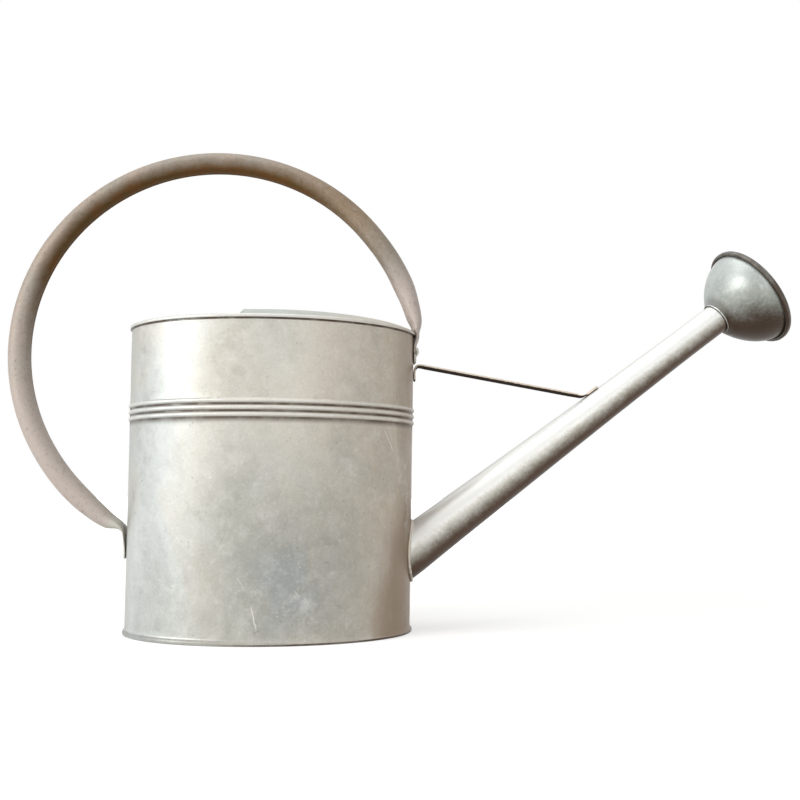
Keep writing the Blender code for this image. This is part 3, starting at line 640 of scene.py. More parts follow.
def handle_stations(body, handle):
    """Each section from the upper tab round: middle, heading, half thickness, half width and bend."""
    thin, wide = handle.tab_half_thickness, handle.tab_half_width
    over_hem = half_length(body, body.height) + body.hem_radius + body.seat_gap
    over_rivets = handle.rivet_height + handle.rivet_radius + 3 * body.seat_gap
    low, top = handle.upper_tab_low, body.height
    rows = [
        (tab_x(body, handle, low), low, UP, 0.55 * thin, 0.72 * wide, 1.0),
        (tab_x(body, handle, low), low + 0.4 * MM, UP, 0.85 * thin, 0.82 * wide, 1.0),
        (tab_x(body, handle, low), low + 2.5 * MM, UP, thin, 0.95 * wide, 1.0),
        (tab_x(body, handle, low + 6 * MM), low + 6 * MM, UP, thin, wide, 1.0),
        (tab_x(body, handle, over_rivets), over_rivets, UP, thin, wide, 1.0),
        (over_hem + 1.3 * thin, top - 2 * body.hem_radius, UP, 1.3 * thin, wide, 1.0),
        (over_hem + 1.3 * thin, top, UP, 1.3 * thin, wide, 1.0),
    ]
    for out, lift, heading, thick, width, bend in UPPER_BEND:
        rows.append((over_hem + out * MM, top + lift * MM, math.radians(heading),
                     thick * MM, width * wide, bend))
    rows += taper_stations(handle, UPPER_TAPER)
    for degrees in range(HOOP_ROUND_FROM, HOOP_ROUND_TO + 1, HOOP_STEP):
        turn = math.radians(degrees)
        rows.append((*hoop_point(handle, turn), turn + UP, handle.tube_radius, handle.tube_radius, 0.0))
    rows += taper_stations(handle, LOWER_TAPER)
    bend_z, low, down = handle.lower_tab_top, handle.lower_tab_low, DOWN + 2 * math.pi
    for out, lift, heading, thick, width, bend in LOWER_BEND:
        rows.append((-tab_x(body, handle, bend_z) - out * MM, bend_z + lift * MM,
                     math.radians(heading + 360), thick * MM, width * wide, bend))
    rows += [
        (-tab_x(body, handle, low), low + 5 * MM, down, thin, wide, 1.0),
        (-tab_x(body, handle, low), low + 2 * MM, down, thin, 0.95 * wide, 1.0),
        (-tab_x(body, handle, low), low + 0.4 * MM, down, 0.85 * thin, 0.82 * wide, 1.0),
        (-tab_x(body, handle, low), low, down, 0.55 * thin, 0.72 * wide, 1.0),
    ]
    return rows


def taper_stations(handle, table):
    rows = []
    for degrees, thick, width in table:
        turn = math.radians(degrees)
        rows.append((*hoop_point(handle, turn), turn + UP, thick * MM, width * MM, 0.0))
    return rows


def tube_section(body, handle, row):
    """One section of the rolled tube, open along its seam on the inside of the hoop."""
    x, z, heading, thick, width, bend = row
    inward = (math.cos(heading + UP), math.sin(heading + UP))
    thin = handle.tab_half_thickness
    flat = max(1.0 - (thick - thin) / (handle.tube_radius - thin), 0.0)
    power = 2 / (2 + 0.6 * flat)
    seam = 0.07 * (1 + 0.25 * noise.noise(Vector((30 * x, 0, 30 * z))))
    points = []
    for steps, inset, forward in ((44, 0.0, True), (20, handle.tube_sheet, False)):
        inset = min(inset, 0.8 * thick)
        for i in range(steps + 1):
            share = i / steps if forward else 1 - i / steps
            turn = seam + share * (2 * math.pi - 2 * seam)
            across = squared_off(math.cos(turn), power) * (thick - inset)
            y = squared_off(math.sin(turn), power) * (width - inset)
            across += bend * y * y / (2 * end_radius(body, z))
            points.append((x + across * inward[0], y, z + across * inward[1]))
    return points


def hoop_handle(body, handle, material):
    """Hoop of rolled tube, flattened and bent at each end into a tab on the body."""
    rows = blended(handle_stations(body, handle), 3, limited=(3, 4, 5))
    verts, faces = loft([tube_section(body, handle, row) for row in rows], caps=True)
    hoop = piece("handle_hoop", verts, faces, material, replaced=("handle",), sharp=50)
    cut_rivet_holes(hoop, body, handle)
    mark(hoop, "inside", lambda place: hoop_inside(handle, place))
    mark(hoop, "turn", lambda place: hoop_turn(handle, place))


def hoop_turn(handle, place):
    """Degrees round the hoop, from the side of the spout over the top."""
    return math.degrees(math.atan2(place.z - handle.hoop_z, place.x - handle.hoop_x)) % 360


def hoop_inside(handle, place):
    """1 on the tube's inner face, where the seam is, 0 on its outer face."""
    outward = Vector((place.x - handle.hoop_x, 0.0, place.z - handle.hoop_z))
    return max(0.0, min(1.0, 0.5 - (outward.length - handle.hoop_radius) / (2 * handle.tube_radius)))


def rivet_frame(body, handle, side):
    """The wall's outer face at a rivet, Z straight out of the wall."""
    z = handle.rivet_height
    deep, long = half_depth(body, z), half_length(body, z)
    turn = math.asin(side * handle.rivet_spacing / 2 / deep)
    outward = Vector((math.cos(turn) / long, math.sin(turn) / deep, 0.0))
    place = Matrix.Translation((CAN_X + long * math.cos(turn), deep * math.sin(turn), z))
    return place @ outward.to_track_quat("Z", "Y").to_matrix().to_4x4()


def cut_rivet_holes(thing, body, handle):
    verts, faces = turned([(RIVET_HOLE, -RIVET_HOLE_REACH), (RIVET_HOLE, RIVET_HOLE_REACH)], 24, caps=True)
    for side in (-1, 1):
        cut_away(thing, verts, faces, rivet_frame(body, handle, side))


def rivet(body, handle, name, side, material):
    """Round head on the tab, shank, and a set tail inside the wall."""
    under = 2 * body.seat_gap + 2 * handle.tab_half_thickness
    tail = -body.sheet - body.seat_gap - 0.3 * MM
    profile = [(0.1 * MM, tail - 1 * MM), (1.6 * MM, tail - 1 * MM), (2.6 * MM, tail - 0.7 * MM),
               (RIVET_TAIL, tail - 0.2 * MM), (RIVET_TAIL, tail), (RIVET_SHANK, tail), (RIVET_SHANK, under)]
    radius = handle.rivet_radius
    profile += [(radius * 0.97, under), (radius, under + 0.15 * MM)]
    for degrees in range(12, 90, 11):
        angle = math.radians(degrees)
        profile.append((radius * math.cos(angle), under + RIVET_DOME * math.sin(angle)))
    profile.append((0.1 * MM, under + RIVET_DOME))
    verts, faces = turned(profile, 40, caps=True)
    piece(name + "_head", verts, faces, material, replaced=(name,),
          matrix=rivet_frame(body, handle, side))


# The spout

WALL_SEARCH = (-60 * MM, 90 * MM)
SPOUT_ROWS = 72


def spout_frame(body, spout):
    """Frame of the spout: origin where its axis leaves the body, Z along it."""
    base = Matrix.Translation((CAN_X + half_length(body, spout.base_z), 0.0, spout.base_z))
    return base @ Matrix.Rotation(UP - spout.angle, 4, "Y")


def spout_radius(spout, along):
    left = min(max(1 - along / spout.taper_length, 0.0), 1.0)
    return spout.tip_radius + (spout.base_radius - spout.tip_radius) * left ** spout.taper_power


def spout_to_can(body, spout, point):
    x, y, along = point
    return Vector((
        half_length(body, spout.base_z) + along * math.cos(spout.angle) + x * math.sin(spout.angle), y,
        spout.base_z + along * math.sin(spout.angle) - x * math.cos(spout.angle)))


def wall_crossing(body, spout, turn, radius_at, offset):
    """Distance along the spout at which one line of its skin meets the wall, found by halving."""
    inner, outer = WALL_SEARCH
    for _ in range(40):
        middle = (inner + outer) / 2
        radius = radius_at(middle)
        x, y, z = spout_to_can(body, spout, (radius * math.cos(turn), radius * math.sin(turn), middle))
        long, deep = half_length(body, z) + offset, half_depth(body, z) + offset
        if (x / long) ** 2 + (y / deep) ** 2 > 1.0:
            outer = middle
        else:
            inner = middle
    return middle


def spout_tube(body, spout, material):
    """Tapered tube, its open foot shaped to the wall."""
    sheet = body.sheet
    turns = [2 * math.pi * i / spout.sides for i in range(spout.sides)]

    def skin(inset, end):
        starts = [wall_crossing(body, spout, turn, lambda s: spout_radius(spout, s) - inset, body.seat_gap)
                  for turn in turns]
        grid = []
        for i in range(SPOUT_ROWS + 1):
            share = (i / SPOUT_ROWS) ** 1.3
            ring = []
            for turn, start in zip(turns, starts):
                along = start + (end - start) * share
                radius = spout_radius(spout, along) - inset
                ripple = 0.12 * MM * noise.noise(Vector((math.cos(turn), math.sin(turn), 14 * along)))
                radius += ripple * (1 - share)
                ring.append((radius * math.cos(turn), radius * math.sin(turn), along))
            grid.append(ring)
        return grid

    tip = spout.spout_length
    lip = [circle(spout.tip_radius - share * sheet, tip, spout.sides) for share in (0.25, 0.75)]
    rings = skin(0.0, tip - 0.2 * MM) + lip + skin(sheet, tip - 0.2 * MM)[::-1]
    verts, faces = loft(rings, joined=True)
    piece("spout_tube", verts, faces, material, replaced=("spout",),
          matrix=spout_frame(body, spout), sharp=50)


def spout_solder(body, spout, material):
    """Uneven fillet of solder where the spout meets the wall."""
    path, sides = [], 160
    for i in range(sides):
        turn = 2 * math.pi * i / sides
        along = wall_crossing(body, spout, turn, lambda s: spout_radius(spout, s), 0.9 * MM)
        radius = spout_radius(spout, along) + 0.3 * MM
        path.append(Vector((radius * math.cos(turn), radius * math.sin(turn), along)))

    def radius_at(share):
        turn = 2 * math.pi * share
        place = Vector((2.2 * math.cos(turn), 2.2 * math.sin(turn), 0.0))
        return spout.solder_radius * (0.75 + 0.2 * noise.noise(place) + 0.14 * noise.noise(place * 4))

    verts, faces = bead(path, radius_at, 16, lambda point: Vector((point.x, point.y, 0)))
    piece("spout_solder", verts, faces, material, matrix=spout_frame(body, spout))


# The brace

def brace_rod(body, spout, material):
    """Rod flattened at both ends: one bent down the wall, the other laid along the spout."""
    rod, thin = spout.rod_radius, spout.rod_flat_half_thickness
    wall = half_length(body, spout.rod_tab_low) + body.seat_gap + 1.25 * thin
    lift = body.seat_gap + thin

    def spout_top(along, rise):
        point = spout_to_can(body, spout, (-(spout_radius(spout, along) + rise), 0.0, along))
        return point.x, point.z

    foot = [spout_top(spout.rod_foot_at + share * spout.rod_foot_length, lift)
            for share in (0.2, 0.9, 0.98, 1.0)]
    lead = spout_top(spout.rod_foot_at, lift + 0.5 * rod)
    start = (wall + 2 * rod, spout.rod_wall_z)
    slope = math.atan2(lead[1] - start[1], lead[0] - start[0])
    reach = math.hypot(lead[0] - start[0], lead[1] - start[1])

    def on_rod(distance):
        return start[0] + distance * math.cos(slope), start[1] + distance * math.sin(slope)

    low, bend = spout.rod_tab_low, spout.rod_wall_z
    rows = [
        (wall, low, UP, 0.8, 0.6), (wall, low + 0.3 * rod, UP, 1.0, 0.85),
        (wall, low + 0.9 * rod, UP, 1.0, 1.0), (wall, bend - 2.8 * rod, UP, 1.0, 1.0),
        (wall + 0.4 * rod, bend - 1.2 * rod, math.radians(70), 0.8, 1.0),
        (wall + 1.1 * rod, bend - 0.3 * rod, math.radians(30), 0.45, 1.0),
        (*on_rod(rod), slope, 0.1, 1.0), (*on_rod(2.4 * rod), slope, 0.0, 1.0),
        (*on_rod(0.33 * reach), slope, 0.0, 1.0), (*on_rod(0.66 * reach), slope, 0.0, 1.0),
        (*on_rod(reach - 6 * rod), slope, 0.0, 1.0), (*on_rod(reach - 2.4 * rod), slope + 0.05, 0.2, 1.0),
        (*lead, slope + (spout.angle - slope) * 0.45, 0.6, 1.0),
        (*foot[0], spout.angle, 1.0, 1.0), (*foot[1], spout.angle, 1.0, 1.0),
        (*foot[2], spout.angle, 1.0, 0.85), (*foot[3], spout.angle, 0.8, 0.6),
    ]
    rings = []
    for x, z, heading, flat, size in blended(rows, 5, limited=(3, 4)):
        inward = (math.cos(heading + UP), math.sin(heading + UP))
        thick = size * (rod + (thin - rod) * flat)
        width = size * (rod + (spout.rod_flat_half_width - rod) * flat)
        power = 2 / (2 + 2 * max(flat, 0.0))
        ring = []
        for k in range(28):
            turn = 2 * math.pi * (k + 0.5) / 28
            across = squared_off(math.cos(turn), power) * thick
            ring.append((x + across * inward[0], squared_off(math.sin(turn), power) * width,
                         z + across * inward[1]))
        rings.append(ring)
    verts, faces = loft(rings, caps=True)
    strut = piece("brace_strut", verts, faces, material, replaced=("brace",))
    foot_start, tab_top = lead[0] + 2 * rod, spout.rod_wall_z - 1.6 * rod

    def flattened(place):
        """1 on the two flattened ends."""
        return float(place.x > foot_start or place.z < tab_top and place.x < wall + rod)

    mark(strut, "tab", flattened)


# The rose

def leaned(rose, point, share=1.0):
    """A point of the rose tipped about the neck's end and pushed across, in full or in part."""
    x, y, along = point
    cosine, sine = math.cos(rose.lean * share), math.sin(rose.lean * share)
    up = along - rose.neck_from
    return (x * cosine + up * sine + rose.shift * share, y, rose.neck_from + up * cosine - x * sine)


def bowl_line(rose, flare, steps):
    """Outer line of the bowl from the neck's flare to the rim, as radius and distance along."""
    rim = rose.neck_from + rose.rim_from_neck
    meet = math.acos((flare / rose.radius) ** (1 / rose.taper_power))
    line = []
    for i in range(steps + 1):
        turn = meet * (1 - i / steps)
        line.append((rose.radius * math.cos(turn) ** rose.taper_power, rim - rose.depth * math.sin(turn)))
    return line


def rose_bowl(body, spout, rose, material):
    """Spun bowl, leaning on the sleeve that pushes over the spout's tip."""
    sheet = body.sheet
    bore = spout.tip_radius + body.seat_gap
    neck, start, short = bore + sheet, rose.neck_from, rose.neck_length
    line = bowl_line(rose, neck + rose.neck_flare, 44)
    flare = [(neck + 0.25 * MM, start), (neck + 0.1 * MM, start + 0.2 * short), (neck, start + 0.5 * short),
             (neck + 0.04 * rose.neck_flare, start + 0.9 * short),
             (neck + 0.14 * rose.neck_flare, start + 1.25 * short),
             (neck + 0.38 * rose.neck_flare, start + 1.75 * short),
             (neck + 0.7 * rose.neck_flare, start + 2.4 * short)]
    outside = flare + line
    inside = []
    for i, (radius, along) in enumerate(line):
        before, after = line[max(i - 1, 0)], line[min(i + 1, len(line) - 1)]
        step = Vector((after[0] - before[0], after[1] - before[1])).normalized()
        inside.append((radius - sheet * step.y, along + sheet * step.x))
    inside[-1] = (rose.radius - sheet, line[-1][1])
    top = start + rose.sleeve_length
    sleeve = [(neck + 0.6 * sheet, start + 2 * short + sheet), (neck, start + 3 * short + sheet),
              (neck, top), (bore, top), (bore, start + short), (bore + 0.05 * MM, start)]
    verts, faces = turned(outside + inside[::-1] + sleeve, rose.sides, joined=True)
    moved = []
    for vert in verts:
        beyond = math.hypot(vert[0], vert[1]) - neck - sheet
        moved.append(leaned(rose, vert, min(max(beyond / (rose.neck_flare - sheet), 0.0), 1.0)))
    bowl = piece("rose_bowl", moved, faces, material, body="rose",
                 replaced=("rose_dome",), matrix=spout_frame(body, spout), sharp=50)
    mark(bowl, "light_shade_and_grime", lambda place: bowl_neck_light_and_shade(rose, place))


def bowl_neck_light_and_shade(rose, place):
    """Painted shadow at the neck's open end, a light line just beyond it, and painted shade on the bowl
    round the neck that fades out 12 mm from the neck's end.
    """
    from_neck = place.z - rose.neck_from
    if from_neck < 0.4 * MM:
        return -1.0
    if from_neck < 1.5 * MM:
        return 0.7
    return -0.62 * min(1.0, max(0.0, (12 * MM - from_neck) / (8 * MM)))


def face_height(body, rose, radius):
    """Distance along the rose of the crowned face's outer side."""
    rim = rose.neck_from + rose.rim_from_neck + body.seat_gap + body.sheet
    return rim + rose.face_crown * (1 - (radius / rose.radius) ** 2)


def hole_places(rose):
    """Middles of the holes: one in the middle and rings of six, twelve and so on."""
    places = []
    for ring in range(rose.hole_rings + 1):
        size = max(6 * ring, 1)
        for i in range(size):
            turn = 2 * math.pi * (i + 0.5 * (ring % 2)) / size
            places.append(Vector((math.cos(turn), math.sin(turn))) * ring * rose.hole_pitch)
    return places


HOLE_SIDES = 16
BURR_HEIGHT = 0.18 * MM


def perforated_disc(rose, radius, sides):
    """Flat triangles of a disc with holes: points, faces, the outer loop and the holes' loops."""
    points, edges = [], []

    def add_loop(middle, size, steps, edged):
        first = len(points)
        for i in range(steps):
            turn = 2 * math.pi * i / steps
            points.append(middle + size * Vector((math.cos(turn), math.sin(turn))))
        loop = list(range(first, first + steps))
        if edged:
            edges.extend((loop[i], loop[(i + 1) % steps]) for i in range(steps))
        return loop

    outer = add_loop(Vector((0, 0)), radius, sides, True)
    holes = []
    for middle in hole_places(rose):
        holes.append(add_loop(middle, rose.hole_radius, HOLE_SIDES, True))
        add_loop(middle, 1.7 * rose.hole_radius, HOLE_SIDES, False)
    for ring in range(rose.hole_rings + 1):
        size = (ring + 0.5) * rose.hole_pitch
        if size < radius - 2 * MM:
            add_loop(Vector((0, 0)), size, max(12, 18 * (ring + 1)), False)
    made = geometry.delaunay_2d_cdt(points, edges, [], 0, 1e-7)
    flat, triangles, kept = made[0], made[2], []
    middles = hole_places(rose)
    for triangle in triangles:
        middle = sum((flat[i] for i in triangle), Vector((0, 0))) / 3
        if all((middle - hole).length > 0.97 * rose.hole_radius for hole in middles):
            kept.append(tuple(triangle))
    back = {source: new for new, sources in enumerate(made[3]) for source in sources}
    return flat, kept, [back[i] for i in outer], [[back[i] for i in hole] for hole in holes]


def rose_plate(body, spout, rose, material):
    """Crowned plate with real holes, its edge rolled down over the bowl's rim."""
    sheet, rim = body.sheet, rose.neck_from + rose.rim_from_neck
    inner = rose.radius + body.seat_gap
    outer = inner + rose.band_thickness
    reach, sides = 0.97 * rose.radius, rose.sides
    flat, triangles, edge, holes = perforated_disc(rose, reach, sides)
    middles = hole_places(rose)
    verts, faces = [], []
    for depth in (0.0, sheet):
        for point in flat:
            near = min((point - hole).length for hole in middles)
            burr = BURR_HEIGHT * max(0.0, 1 - (near - rose.hole_radius) / (0.8 * rose.hole_radius))
            verts.append((point.x, point.y, face_height(body, rose, point.length) - depth + burr))
    size = len(flat)
    faces += triangles + [tuple(size + i for i in reversed(triangle)) for triangle in triangles]
    for hole in holes:
        for i, low in enumerate(hole):
            high = hole[(i + 1) % len(hole)]
            faces.append((low, high, size + high, size + low))
    low_edge = 0.9 * rose.band_depth
    wide, deep = rose.band_thickness, rose.band_depth
    profile = [(inner + 0.1 * wide, rim + sheet + 0.1 * MM), (inner + 0.42 * wide, rim + sheet),
               (inner + 0.72 * wide, rim + 0.35 * sheet), (inner + 0.9 * wide, rim - 0.06 * deep),
               (outer, rim - 0.22 * deep), (outer, rim - 0.5 * deep), (outer, rim - 0.76 * deep),
               (inner + 0.9 * wide, rim - 0.9 * deep), (inner + 0.7 * wide, rim - 0.98 * deep),
               (inner + 0.4 * wide, rim - deep), (inner + 0.12 * wide, rim - 0.97 * deep),
               (inner, rim - low_edge), (inner, rim + body.seat_gap)]
    rings = [edge]
    for radius, along in profile:
        first = len(verts)
        verts += circle(radius, along, sides)
        rings.append(list(range(first, first + sides)))
    rings.append([size + i for i in edge])
    for low, high in zip(rings, rings[1:]):
        for i in range(sides):
            j = (i + 1) % sides
            faces.append((low[i], low[j], high[j], high[i]))
    verts = [leaned(rose, vert) for vert in verts]
    plate = piece("rose_plate", verts, faces, material, body="rose",
                  replaced=("rose_face",), matrix=spout_frame(body, spout), sharp=45)
    mark(plate, "light_shade_and_grime", lambda place: plate_crest(rose, place))


def plate_crest(rose, place):
    """The rolled band is dull and dark."""
    return -1.0 if math.hypot(place.x, place.y) > 0.98 * rose.radius else 0.0


# Finishes

class Finish:
    """A metal surface built from nodes, whose values are sockets or plain numbers."""

    def __init__(self, name, metallic, gloss=0.5):
        self.material = bpy.data.materials.new(name)
        self.material.use_nodes = True
        self.tree = self.material.node_tree
        self.shader = self.tree.nodes["Principled BSDF"]
        self.shader.inputs["Metallic"].default_value = metallic
        self.shader.inputs["Specular IOR Level"].default_value = gloss
        self.place = self.tree.nodes.new("ShaderNodeTexCoord").outputs["Object"]

    def link(self, value, socket):
        if isinstance(value, bpy.types.NodeSocket):
            self.tree.links.new(value, socket)
        else:
            socket.default_value = value

    def node(self, kind, values):
        """A new node, with each of its named or numbered inputs linked or set."""
        node = self.tree.nodes.new("ShaderNode" + kind)
        for name, value in values.items():
            self.link(value, node.inputs[name])
        return node

    def stretched(self, scale, turn=(0.0, 0.0, 0.0)):
        values = {"Vector": self.place, "Scale": scale, "Rotation": turn}
        return self.node("Mapping", values).outputs["Vector"]

    def noise(self, scale, detail=3.0, roughness=0.55, place=None, distortion=0.0):
        return self.node("TexNoise", {"Vector": place or self.place, "Scale": scale, "Detail": detail,
                                      "Roughness": roughness, "Distortion": distortion}).outputs["Fac"]

    def cells(self, scale, output="Distance", place=None):
        return self.node("TexVoronoi", {"Vector": place or self.place, "Scale": scale}).outputs[output]

    def span(self, value, low, high, to_low=0.0, to_high=1.0, smooth=True):
        """Maps low..high to to_low..to_high, held at its ends."""
        node = self.node("MapRange", {"Value": value, "From Min": low, "From Max": high,
                                      "To Min": to_low, "To Max": to_high})
        node.interpolation_type = "SMOOTHSTEP" if smooth else "LINEAR"
        return node.outputs["Result"]

    def maths(self, operation, first, second=0.0):
        node = self.node("Math", {0: first, 1: second})
        node.operation = operation
        return node.outputs["Value"]

    def times(self, first, second):
        return self.maths("MULTIPLY", first, second)

    def plus(self, first, second):
        return self.maths("ADD", first, second)

    def uneven(self, value, mottle, low, high, reach):
        """A value pushed up and down by a noise, by up to the reach."""
        return self.plus(value, self.span(mottle, low, high, -reach, reach))

    def blend(self, share, first, second):
        """The first colour, with a share of the second mixed in."""
        node = self.tree.nodes.new("ShaderNodeMix")
        node.data_type = "RGBA"
        self.link(share, node.inputs["Factor"])
        for value, letter in ((first, "A"), (second, "B")):
            socket = [each for each in node.inputs if each.type == "RGBA" and each.name == letter][0]
            self.link(value if isinstance(value, bpy.types.NodeSocket) else (*value, 1.0), socket)
        return [each for each in node.outputs if each.type == "RGBA"][0]

    def over(self, colour, tone, value, low, high, most=1.0, smooth=True):
        """Lays a tone over a colour, from none where the value is low to the most where it is high."""
        return self.blend(self.span(value, low, high, 0.0, most, smooth), colour, tone)

    def axis(self, source, letter):
        return self.node("SeparateXYZ", {"Vector": source}).outputs[letter]

    def facing_up(self):
        """Height of the surface's own direction, from -1 facing down to 1 facing up."""
        return self.axis(self.node("NewGeometry", {}).outputs["Normal"], "Z")

    def vertex(self, name):
        """A number marked on the mesh, or 0 where there is none."""
        node = self.node("Attribute", {})
        node.attribute_name = name
        return node.outputs["Fac"]

    def spot(self, middle, size):
        """A soft patch round a place, of a size along each axis."""
        place = self.place
        for operation, by in (("SUBTRACT", middle), ("DIVIDE", size)):
            node = self.node("VectorMath", {0: place, 1: by})
            node.operation = operation
            place = node.outputs["Vector"]
        far = self.node("VectorMath", {0: place})
        far.operation = "LENGTH"
        return self.span(far.outputs["Value"], 1.0, 0.0)

    def finish(self, colour, roughness, relief, depth, distance=0.0002):
        """Sets the colour, roughness and relief, and returns the material."""
        bump = self.node("Bump", {"Strength": depth, "Distance": distance, "Height": relief})
        for name, value in (("Base Color", colour), ("Roughness", roughness),
                            ("Normal", bump.outputs["Normal"])):
            self.link(value, self.shader.inputs[name])
        return self.material


def zinc_layers(finish, tones, colour, spangle):
    """Mottling that every zinc sheet shares: crystals, fine clouds, grain, pits and pale dots."""
    crystals = finish.axis(finish.cells(120, output="Color"), "X")
    colour = finish.over(colour, tones.bloom_and_highlight, crystals, 0.0, 1.0, 0.3 * spangle)
    fine, grain = finish.noise(62, 8, 0.74, distortion=0.3), finish.noise(420, 3, 0.7)
    colour = finish.over(colour, tones.bloom_and_highlight, fine, 0.50, 0.74, 0.26)
    colour = finish.over(colour, tones.zinc_shade, fine, 0.50, 0.28, 0.27)
    colour = finish.over(colour, tones.bloom_and_highlight, grain, 0.50, 0.72, 0.14)
    colour = finish.over(colour, tones.zinc_shade, grain, 0.50, 0.28, 0.15)
    turned_place = finish.stretched((1, 1, 1), (0.4, 0.7, 1.1))
    specks = ((finish.cells(170), 0.20, 0.06, 40, 0.30, tones.tarnish_and_shade),
              (finish.cells(190, place=turned_place), 0.16, 0.05, 31, 0.38, tones.bloom_and_highlight))
    for cells, low, high, scale, most, tone in specks:
        gate = finish.span(finish.noise(scale, 3), 0.50, 0.60)
        share = finish.times(finish.span(cells, low, high, 0.0, most), gate)
        colour = finish.blend(share, colour, tone)
    return colour, crystals, fine


# Start and end as x and z, width in metres and strength.
WALL_SCRATCHES_AND_REFLECTION = (
    ((-0.0113, 0.0333), (-0.0050, 0.0105), 0.0009, 0.60),
    ((0.1000, 0.1830), (0.1085, 0.1600), 0.0006, 0.55),
    ((-0.0230, 0.0560), (-0.0160, 0.0430), 0.0008, 0.30),
    ((0.0240, 0.0450), (0.0300, 0.0380), 0.0010, 0.30),
    # These two rows are no scratches: they paint a soft streak of the spout's reflection.
    ((0.1110, 0.1800), (0.1205, 0.1230), 0.0030, 0.16),
    ((0.1190, 0.1380), (0.1250, 0.0850), 0.0030, 0.16),
)


def wall_finish(tones):
    """Galvanised wall: cool grey to taupe towards the spout, greyer low down, painted shade at the handle
    end, brown patina with painted shade at the spout end, a painted reflection of the spout, and lines of
    painted highlight and shade with grime.
    """
    finish = Finish("zinc_wall", 0.30)
    x, height = finish.axis(finish.place, "X"), finish.axis(finish.place, "Z")
    streaks = finish.noise(30, 5, 0.6, place=finish.stretched((1.0, 1.0, 0.3)), distortion=0.3)
    along = finish.uneven(x, streaks, 0.3, 0.7, 0.014)
    colour = finish.over(tones.zinc_cool, tones.zinc_pale, along, -0.10, -0.04)
    colour = finish.over(colour, tones.zinc_warm, along, 0.0, 0.06)
    colour = finish.over(colour, tones.zinc_taupe, along, 0.06, 0.11)
    clouds = finish.noise(14, 5, 0.6, finish.stretched((1.0, 1.0, 0.65)), 0.5)
    colour = finish.over(colour, tones.zinc_warm, clouds, 0.48, 0.66, 0.45)
    colour = finish.over(colour, tones.zinc_shade, clouds, 0.50, 0.34, 0.28)

    ragged, blotches = finish.noise(22, 6, 0.68, distortion=0.4), finish.noise(48, 7, 0.7)
    patches = (
        ((0.024, -0.085, 0.06), (0.118, 0.09, 0.155), ragged, (0.30, 0.62, 0.66, 0.92), tones.zinc_shade),
        ((0.018, -0.083, 0.046), (0.06, 0.05, 0.055), ragged, (0.36, 0.60, 0.0, 0.6), tones.zinc_blue),
        ((0.010, -0.083, 0.040), (0.085, 0.05, 0.045), blotches, (0.50, 0.70, 0.0, 0.5), tones.bloom_and_highlight),
    )
    for middle, size, mottle, limits, tone in patches:
        share = finish.times(finish.spot(middle, size), finish.span(mottle, *limits))
        colour = finish.blend(share, colour, tone)
    colour, crystals, fine = zinc_layers(finish, tones, colour, tones.spangle)

    # Painted shade at the handle end of the oval.
    handle_end_shade = finish.times(finish.span(finish.maths("ABSOLUTE", x), 0.113, 0.130, 0.0, 0.5),
                              finish.span(along, 0.0, -0.02))
    colour = finish.blend(handle_end_shade, colour, tones.zinc_shade)
    # Brown patina with painted shade at the spout end of the oval, reaching further in low down, and more
    # painted shade on its last few millimetres.
    spout_end_patina_and_shade = finish.plus(x, finish.span(height, 0.16, 0.0, 0.0, 0.023))
    spout_end_patina_and_shade = finish.uneven(spout_end_patina_and_shade, streaks, 0.3, 0.7, 0.004)
    colour = finish.over(colour, tones.zinc_edge, spout_end_patina_and_shade, 0.107, 0.131, 0.95)
    colour = finish.over(colour, tones.tarnish_and_shade, x, 0.126, 0.1325, 0.5)

    # Scratches, and a soft streak of painted reflection near the spout end.
    scratches_and_reflection = 0.0
    for start, end, width, strength in WALL_SCRATCHES_AND_REFLECTION:
        line = finish.times(wall_streak(finish, start, end, width), strength)
        scratches_and_reflection = finish.maths("MAXIMUM", scratches_and_reflection, line)
    colour = finish.blend(scratches_and_reflection, colour, tones.bloom_and_highlight)
    # Painted highlights and painted shade, with grime, from the numbers marked on the mesh.
    colour = paint_light_shade_and_grime(finish, tones, colour, 0.95, 0.5)
    rough = finish.plus(finish.span(crystals, 0.0, 1.0, 0.36, 0.44),
                        finish.span(fine, 0.35, 0.65, -0.04, 0.06))
    relief = finish.plus(finish.times(fine, 0.6), finish.times(scratches_and_reflection, -0.5))
    return finish.finish(colour, rough, relief, 0.25)


def wall_streak(finish, start, end, width):
    """One streak on the front of the wall, between two places given as x and z, used for scratches and for
    a painted reflection.
    """
    run = Vector((end[0] - start[0], end[1] - start[1]))
    size = run.length
    run.normalize()
    x = finish.plus(finish.axis(finish.place, "X"), -start[0])
    z = finish.plus(finish.axis(finish.place, "Z"), -start[1])
    along = finish.plus(finish.times(x, run.x), finish.times(z, run.y))
    across = finish.maths("SUBTRACT", finish.times(z, run.x), finish.times(x, run.y))
    wander = finish.span(finish.noise(90, 3), 0.3, 0.7, -1.5 * width, 1.5 * width, smooth=False)
    line = finish.span(finish.maths("ABSOLUTE", finish.plus(across, wander)), width, 0.2 * width)
    ends = finish.times(finish.span(along, 0.0, 0.2 * size), finish.span(along, size, 0.7 * size))
    front = finish.span(finish.axis(finish.place, "Y"), 0.0, -0.02)
    return finish.times(finish.times(line, ends), front)


def paint_light_shade_and_grime(finish, tones, colour, dirt, bright):
    """Lightens and darkens by the number marked on the mesh: painted highlight where it is high, painted
    shade with grime where it is low.
    """
    light_shade_and_grime = finish.vertex("light_shade_and_grime")
    broken = finish.span(finish.noise(60, 3), 0.3, 0.6, 0.75, 1.0)
    up = finish.times(finish.span(light_shade_and_grime, 0.1, 1.0, 0.0, bright), broken)
    down = finish.times(finish.span(light_shade_and_grime, -0.2, -1.0, 0.0, dirt), broken)
    return finish.blend(down, finish.blend(up, colour, tones.bloom_and_highlight), tones.grime_and_shade)


